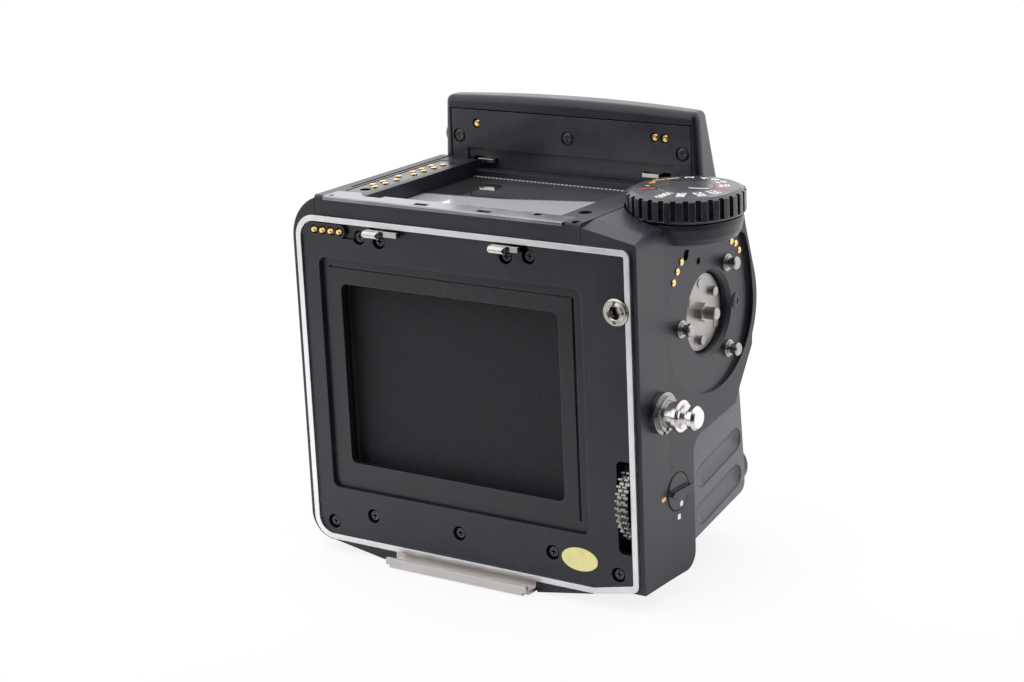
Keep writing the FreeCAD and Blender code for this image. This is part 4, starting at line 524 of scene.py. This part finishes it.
def circuit_green():
    s = Surface("circuit_green", (0.02, 0.14, 0.06), 0.3)
    s.mottle(6.0, 0.2, 0.06)
    tracks = s.noise(1.0, 1.0, (0.2, 0.2, 1.6), 5.0)
    s.paint(s.remap(tracks, 0.5, 0.54, 0.0, 0.6), (0.03, 0.22, 0.1))
    s.grain(0.3, 0.003, 0.1)
    return s.close()


def printed(name, colour):
    """Paint of the engraved or printed marks."""
    s = Surface(name, colour, 0.5)
    s.mottle(1.2, 0.12, 0.06)
    s.grain(0.12, 0.002, 0.1)
    return s.close(0.02)


def dress(material, *names):
    """Give a material to CAD nodes."""
    for name in names:
        mesh = nodes[name].data
        mesh.materials.clear()
        mesh.materials.append(material)
        dressed.add(name)


dressed = set()
dress(moulded_black(), "left_end_cap", "top_plate", "base_plate", "front_housing", "battery_door")
dress(hood_moulding(), "hood_cover")
dress(gripped_black(), "right_housing")
dress(painted_plate("painted_plate", (0.0125, 0.0130, 0.0215)), "rear_plate")
dress(painted_plate("gate_paint", (0.0085, 0.0089, 0.0145)), "gate_frame")
dress(dull_black("dull_black"), "rear_casting", "mirror_box", "mirror_holder", "shutter_frame",
      "gear_bracket", "coupling_bearing", "lower_curtain_roller", "upper_curtain_roller")
dress(dull_black("beaded_black", beads_ahead_of=-16.8), "screen_frame")
dress(smooth_black("smooth_black"), "rear_contact_block", "finder_contact_strip",
      "shutter_release_button", "release_lock_collar", "finder_release_button", "lens_release_button",
      "mirror_lockup_lever", "multi_exposure_lever", "cable_release_socket")
dress(smooth_black("button_black", 0.25, (0.04, 0.041, 0.053), 0.8), "dial_lock_button")
dress(smooth_black("hood_black", 0.28, (0.037, 0.0375, 0.048)), "hood_plate")
dress(dial_black(), "speed_dial")
dress(bright_rim(), "rim_frame")
dress(satin_sheet(), "finder_rear_strip")
dress(satin_nickel("satin_nickel"), "film_back_hooks", "slotted_bush", "sensing_pin",
      "tripod_socket", "lens_lock_pin", "left_finder_catch", "right_finder_catch", "sync_socket")
dress(satin_nickel("stud_nickel", (0.4, 0.385, 0.375), 0.24), "winder_studs")
dress(satin_nickel("bright_nickel", (0.8, 0.78, 0.77), 0.2), "strap_studs")
dress(satin_nickel("dark_nickel", (0.36, 0.35, 0.34), 0.26), "strap_rings")
dress(brushed_bracket(), "film_back_bracket")
dress(turned_disc(), "coupling_disc")
dress(milled_steel("milled_steel", (0.6, 0.59, 0.57)), "coupling_gear", "idler_gear", "dial_shaft",
      "mirror_hinge_pin")
dress(milled_steel("oiled_steel", (0.33, 0.325, 0.32)), "film_wind_gear")
dress(mount_chrome(), "lens_mount_ring")
dress(gold_contact(), "electrical_contacts")
dress(blackened_screw(), "body_screws")
dress(curtain_cloth(), "shutter_curtain")
dress(ground_glass(), "focusing_screen")
dress(silvered_glass(), "reflex_mirror")
dress(sticker_paper(), "inspection_sticker")
dress(plated_cell(), "battery")
dress(circuit_green(), "circuit_board")
missing = set(nodes) - dressed
if missing:
    raise RuntimeError("nodes without a material: " + ", ".join(sorted(missing)))


# Printed marks

PRINT_THICK = 0.02
NUMERAL = 1.9
DIGIT_SHARE = 0.7
BOLDER = 0.05

white_print = printed("white_print", (0.92, 0.92, 0.92))
red_print = printed("red_print", (0.62, 0.05, 0.05))
orange_print = printed("orange_print", (0.85, 0.42, 0.06))
yellow_print = printed("yellow_print", (0.9, 0.6, 0.08))


def numeral_mesh(text):
    """Thin bold mesh of a numeral, centred, with its baseline along X, in millimetres."""
    curve = bpy.data.curves.new("numeral", "FONT")
    curve.body = text
    curve.size = NUMERAL / DIGIT_SHARE
    curve.align_x = "CENTER"
    curve.align_y = "CENTER"
    curve.extrude = PRINT_THICK / 2
    curve.offset = BOLDER
    holder = bpy.data.objects.new("numeral", curve)
    mesh = bpy.data.meshes.new_from_object(holder)
    bpy.data.objects.remove(holder)
    return mesh


def patch_mesh(length, width, corner=0.12):
    """Thin bar with rounded corners, centred, in millimetres."""
    shape = bmesh.new()
    steps = 4
    rim = []
    for turn, (sx, sy) in enumerate(((1, 1), (-1, 1), (-1, -1), (1, -1))):
        for step in range(steps + 1):
            angle = math.pi / 2 * (turn + step / steps)
            rim.append(shape.verts.new((
                sx * (length / 2 - corner) + corner * math.cos(angle),
                sy * (width / 2 - corner) + corner * math.sin(angle), -PRINT_THICK / 2)))
    face = shape.faces.new(rim)
    grown = bmesh.ops.extrude_face_region(shape, geom=[face])
    top = [item for item in grown["geom"] if isinstance(item, bmesh.types.BMVert)]
    bmesh.ops.translate(shape, verts=top, vec=(0, 0, PRINT_THICK))
    bmesh.ops.recalc_face_normals(shape, faces=shape.faces)
    mesh = bpy.data.meshes.new("patch")
    shape.to_mesh(mesh)
    shape.free()
    return mesh


def print_on(name, body, material, items):
    """One piece from several small meshes, each with its own place in millimetres."""
    merged = bmesh.new()
    for mesh, place in items:
        copy = mesh.copy()
        copy.transform(Matrix.Scale(MM, 4) @ place)
        merged.from_mesh(copy)
        bpy.data.meshes.remove(copy)
    mesh = bpy.data.meshes.new(name)
    merged.to_mesh(mesh)
    merged.free()
    mesh.materials.append(material)
    piece = bpy.data.objects.new(name, mesh)
    bpy.context.scene.collection.objects.link(piece)
    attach(piece, body)


dial_low, dial_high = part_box("speed_dial")
dial_x = (dial_low.x + dial_high.x) / 2 / MM
dial_y = (dial_low.y + dial_high.y) / 2 / MM
dial_face = dial_high.z / MM


def on_dial(angle, radius):
    """Place on the dial's face, with X outwards."""
    turn = math.radians(angle)
    point = Vector((dial_x + radius * math.cos(turn), dial_y + radius * math.sin(turn),
                    dial_face + PRINT_THICK / 2))
    return Matrix.Translation(point) @ Matrix.Rotation(turn, 4, "Z")


def numerals(*marks):
    """Numerals of the dial, each given as its text, angle and radius."""
    return [(numeral_mesh(text), on_dial(angle, radius)) for text, angle, radius in marks]


print_on("dial_numerals_white", "dial", white_print, numerals(
    ("1000", 87, 8.5), ("500", 112, 7.8), ("250", 141, 8.1), ("125", 165, 8.1), ("30", 213, 8.25),
    ("15", 239, 8.7), ("8", 258, 9.7), ("4", 275, 9.8), ("2", 295, 10.2), ("1", 314, 10.0)))
print_on("dial_numerals_orange", "dial", orange_print,
         numerals(("2", -34, 10.0), ("3", -22, 10.3), ("4", -9, 9.2))
         + [(patch_mesh(1.0, 0.9, 0.4), on_dial(13, 8.7))])
print_on("dial_marks_red", "dial", red_print,
         numerals(("60", 195, 7.75))
         + [(patch_mesh(3.7, 0.5), on_dial(31, 8.35)), (patch_mesh(1.1, 0.5), on_dial(61, 7.4))])

INDEX_AT = (-49.5, 1.96)
INDEX_TURN = math.radians(194)
button_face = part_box("dial_lock_button")[1].z / MM
index_place = Matrix.Translation(Vector((*INDEX_AT, button_face + PRINT_THICK / 2)))
print_on("dial_index_line", "dial_lock", white_print,
         [(patch_mesh(4.5, 0.45), index_place @ Matrix.Rotation(INDEX_TURN, 4, "Z"))])

# The winding side is flat behind SIDE_BEND and flares outwards ahead of it
SIDE_FACE = -48.8
SIDE_BEND = 16.0
SIDE_FLARE = 1.3 / 40


def on_side(y, z, tilt=0.0, out=0.0):
    """Place on the flared winding side, seen from outside with X forwards and Y up."""
    face_x = SIDE_FACE - max(0.0, SIDE_BEND - y) * SIDE_FLARE - out
    face = Matrix(((0, 0, -1), (-1, 0, 0), (0, 1, 0))).to_4x4()
    point = Matrix.Translation(Vector((face_x - PRINT_THICK / 2, y, z)))
    return point @ face @ Matrix.Rotation(math.radians(tilt), 4, "Z")


print_on("lever_mark_yellow", "camera_body", yellow_print,
         [(patch_mesh(1.6, 0.85, 0.1), on_side(18.64, 23.87, 6))])
print_on("lever_mark_white", "camera_body", white_print,
         [(patch_mesh(1.25, 1.2, 0.1), on_side(12.5, 18.05))])
print_on("lever_mark_round", "multi_exposure", white_print,
         [(patch_mesh(1.3, 1.3, 0.6), on_side(11.6, 20.9, out=0.11))])


# Floor, light and camera

# The photograph's camera: its place in metres and its turns in degrees
CAMERA_AT = (-0.29889375, 0.43068436, 0.19706700)
CAMERA_TURN = (74.22254238, 2.44707682, -145.68967698)

# The studio is open, and so dark, on the side where the camera stands: metres towards it between
# which the floor's reflection fades, its colour painted darker as painted shade, and the world's
# light away from it and towards it
FLOOR_NEAR = 0.04
FLOOR_FAR = 0.24
WORLD_LIT = 1.4
WORLD_DIM = 0.03

FLOOR_HALF = 12.0
floor_mesh = bpy.data.meshes.new("floor")
floor_corners = [(x * FLOOR_HALF, y * FLOOR_HALF, 0) for x, y in ((-1, -1), (1, -1), (1, 1), (-1, 1))]
floor_mesh.from_pydata(floor_corners, [], [(0, 1, 2, 3)])
floor = bpy.data.objects.new("floor", floor_mesh)
floor.location.z = -0.05 * MM
bpy.context.scene.collection.objects.link(floor)


def ranged(tree, value, low, high, to_low, to_high, smooth=False):
    """Socket that follows a value between two limits."""
    node = tree.nodes.new("ShaderNodeMapRange")
    if smooth:
        node.interpolation_type = "SMOOTHSTEP"
    for socket, limit in zip(node.inputs[1:5], (low, high, to_low, to_high)):
        socket.default_value = limit
    tree.links.new(value, node.inputs[0])
    return node.outputs[0]


def toward_open_side(tree, coordinate, height):
    """How far a place, or a direction, goes towards the open side of the studio."""
    place = tree.nodes.new("ShaderNodeTexCoord")
    node = tree.nodes.new("ShaderNodeVectorMath")
    node.operation = "DOT_PRODUCT"
    node.inputs[1].default_value = Vector((CAMERA_AT[0], CAMERA_AT[1], height)).normalized()
    tree.links.new(place.outputs[coordinate], node.inputs[0])
    return node.outputs["Value"]


def pale_floor():
    """White floor that keeps a faint shadow, and reflects less towards the open side, where its
    colour is painted darker as painted shade.
    """
    material = bpy.data.materials.new("pale_floor")
    material.use_nodes = True
    tree = material.node_tree
    tree.nodes.clear()
    diffuse = tree.nodes.new("ShaderNodeBsdfDiffuse")
    away = toward_open_side(tree, "Object", 0)
    # Painted shade: the floor's colour falls from pale to dark towards the open side.
    tree.links.new(ranged(tree, away, FLOOR_NEAR, FLOOR_FAR, 0.9, 0.02), diffuse.inputs["Color"])
    glow = tree.nodes.new("ShaderNodeEmission")
    glow.inputs["Color"].default_value = (1, 1, 1, 1)
    rays = tree.nodes.new("ShaderNodeLightPath")
    share = tree.nodes.new("ShaderNodeMath")
    share.operation = "MULTIPLY"
    tree.links.new(ranged(tree, away, FLOOR_NEAR, FLOOR_FAR, 0.85, 1.0), share.inputs[1])
    tree.links.new(rays.outputs["Is Camera Ray"], share.inputs[0])
    blend = tree.nodes.new("ShaderNodeMixShader")
    tree.links.new(share.outputs[0], blend.inputs[0])
    tree.links.new(diffuse.outputs[0], blend.inputs[1])
    tree.links.new(glow.outputs[0], blend.inputs[2])
    output = tree.nodes.new("ShaderNodeOutputMaterial")
    tree.links.new(blend.outputs[0], output.inputs[0])
    return material


floor_mesh.materials.append(pale_floor())


def studio_world():
    """White surroundings, whose light is dimmer on the open side of the studio."""
    world = bpy.data.worlds.new("studio")
    world.use_nodes = True
    tree = world.node_tree
    tree.nodes.clear()
    toward = toward_open_side(tree, "Generated", 0.15)
    fall = ranged(tree, toward, 0.55, 0.93, WORLD_LIT, WORLD_DIM, smooth=True)
    rays = tree.nodes.new("ShaderNodeLightPath")
    strength = tree.nodes.new("ShaderNodeMix")
    tree.links.new(rays.outputs["Is Camera Ray"], strength.inputs[0])
    tree.links.new(fall, strength.inputs[2])
    strength.inputs[3].default_value = 1.0
    background = tree.nodes.new("ShaderNodeBackground")
    background.inputs["Color"].default_value = (1, 1, 1, 1)
    tree.links.new(strength.outputs[0], background.inputs["Strength"])
    output = tree.nodes.new("ShaderNodeOutputWorld")
    tree.links.new(background.outputs[0], output.inputs[0])
    return world


scene = bpy.context.scene
scene.world = studio_world()

lamp_data = bpy.data.lights.new("softbox", "AREA")
lamp_data.size = 1.2
lamp_data.energy = 4.5
softbox = bpy.data.objects.new("softbox", lamp_data)
softbox.location = (0.25, 0.2, 1.1)
softbox.rotation_euler = (Vector((0, 0, 0.05)) - softbox.location).to_track_quat("-Z", "Y").to_euler()
softbox.visible_glossy = False
scene.collection.objects.link(softbox)

camera_data = bpy.data.cameras.new("camera")
camera_data.sensor_fit = "HORIZONTAL"
camera_data.sensor_width = 36.0
camera_data.lens = 82.394
camera_data.clip_start = 0.01
camera = bpy.data.objects.new("camera", camera_data)
camera.location = CAMERA_AT
camera.rotation_euler = [math.radians(angle) for angle in CAMERA_TURN]
scene.collection.objects.link(camera)
scene.camera = camera
scene.view_settings.view_transform = "Standard"
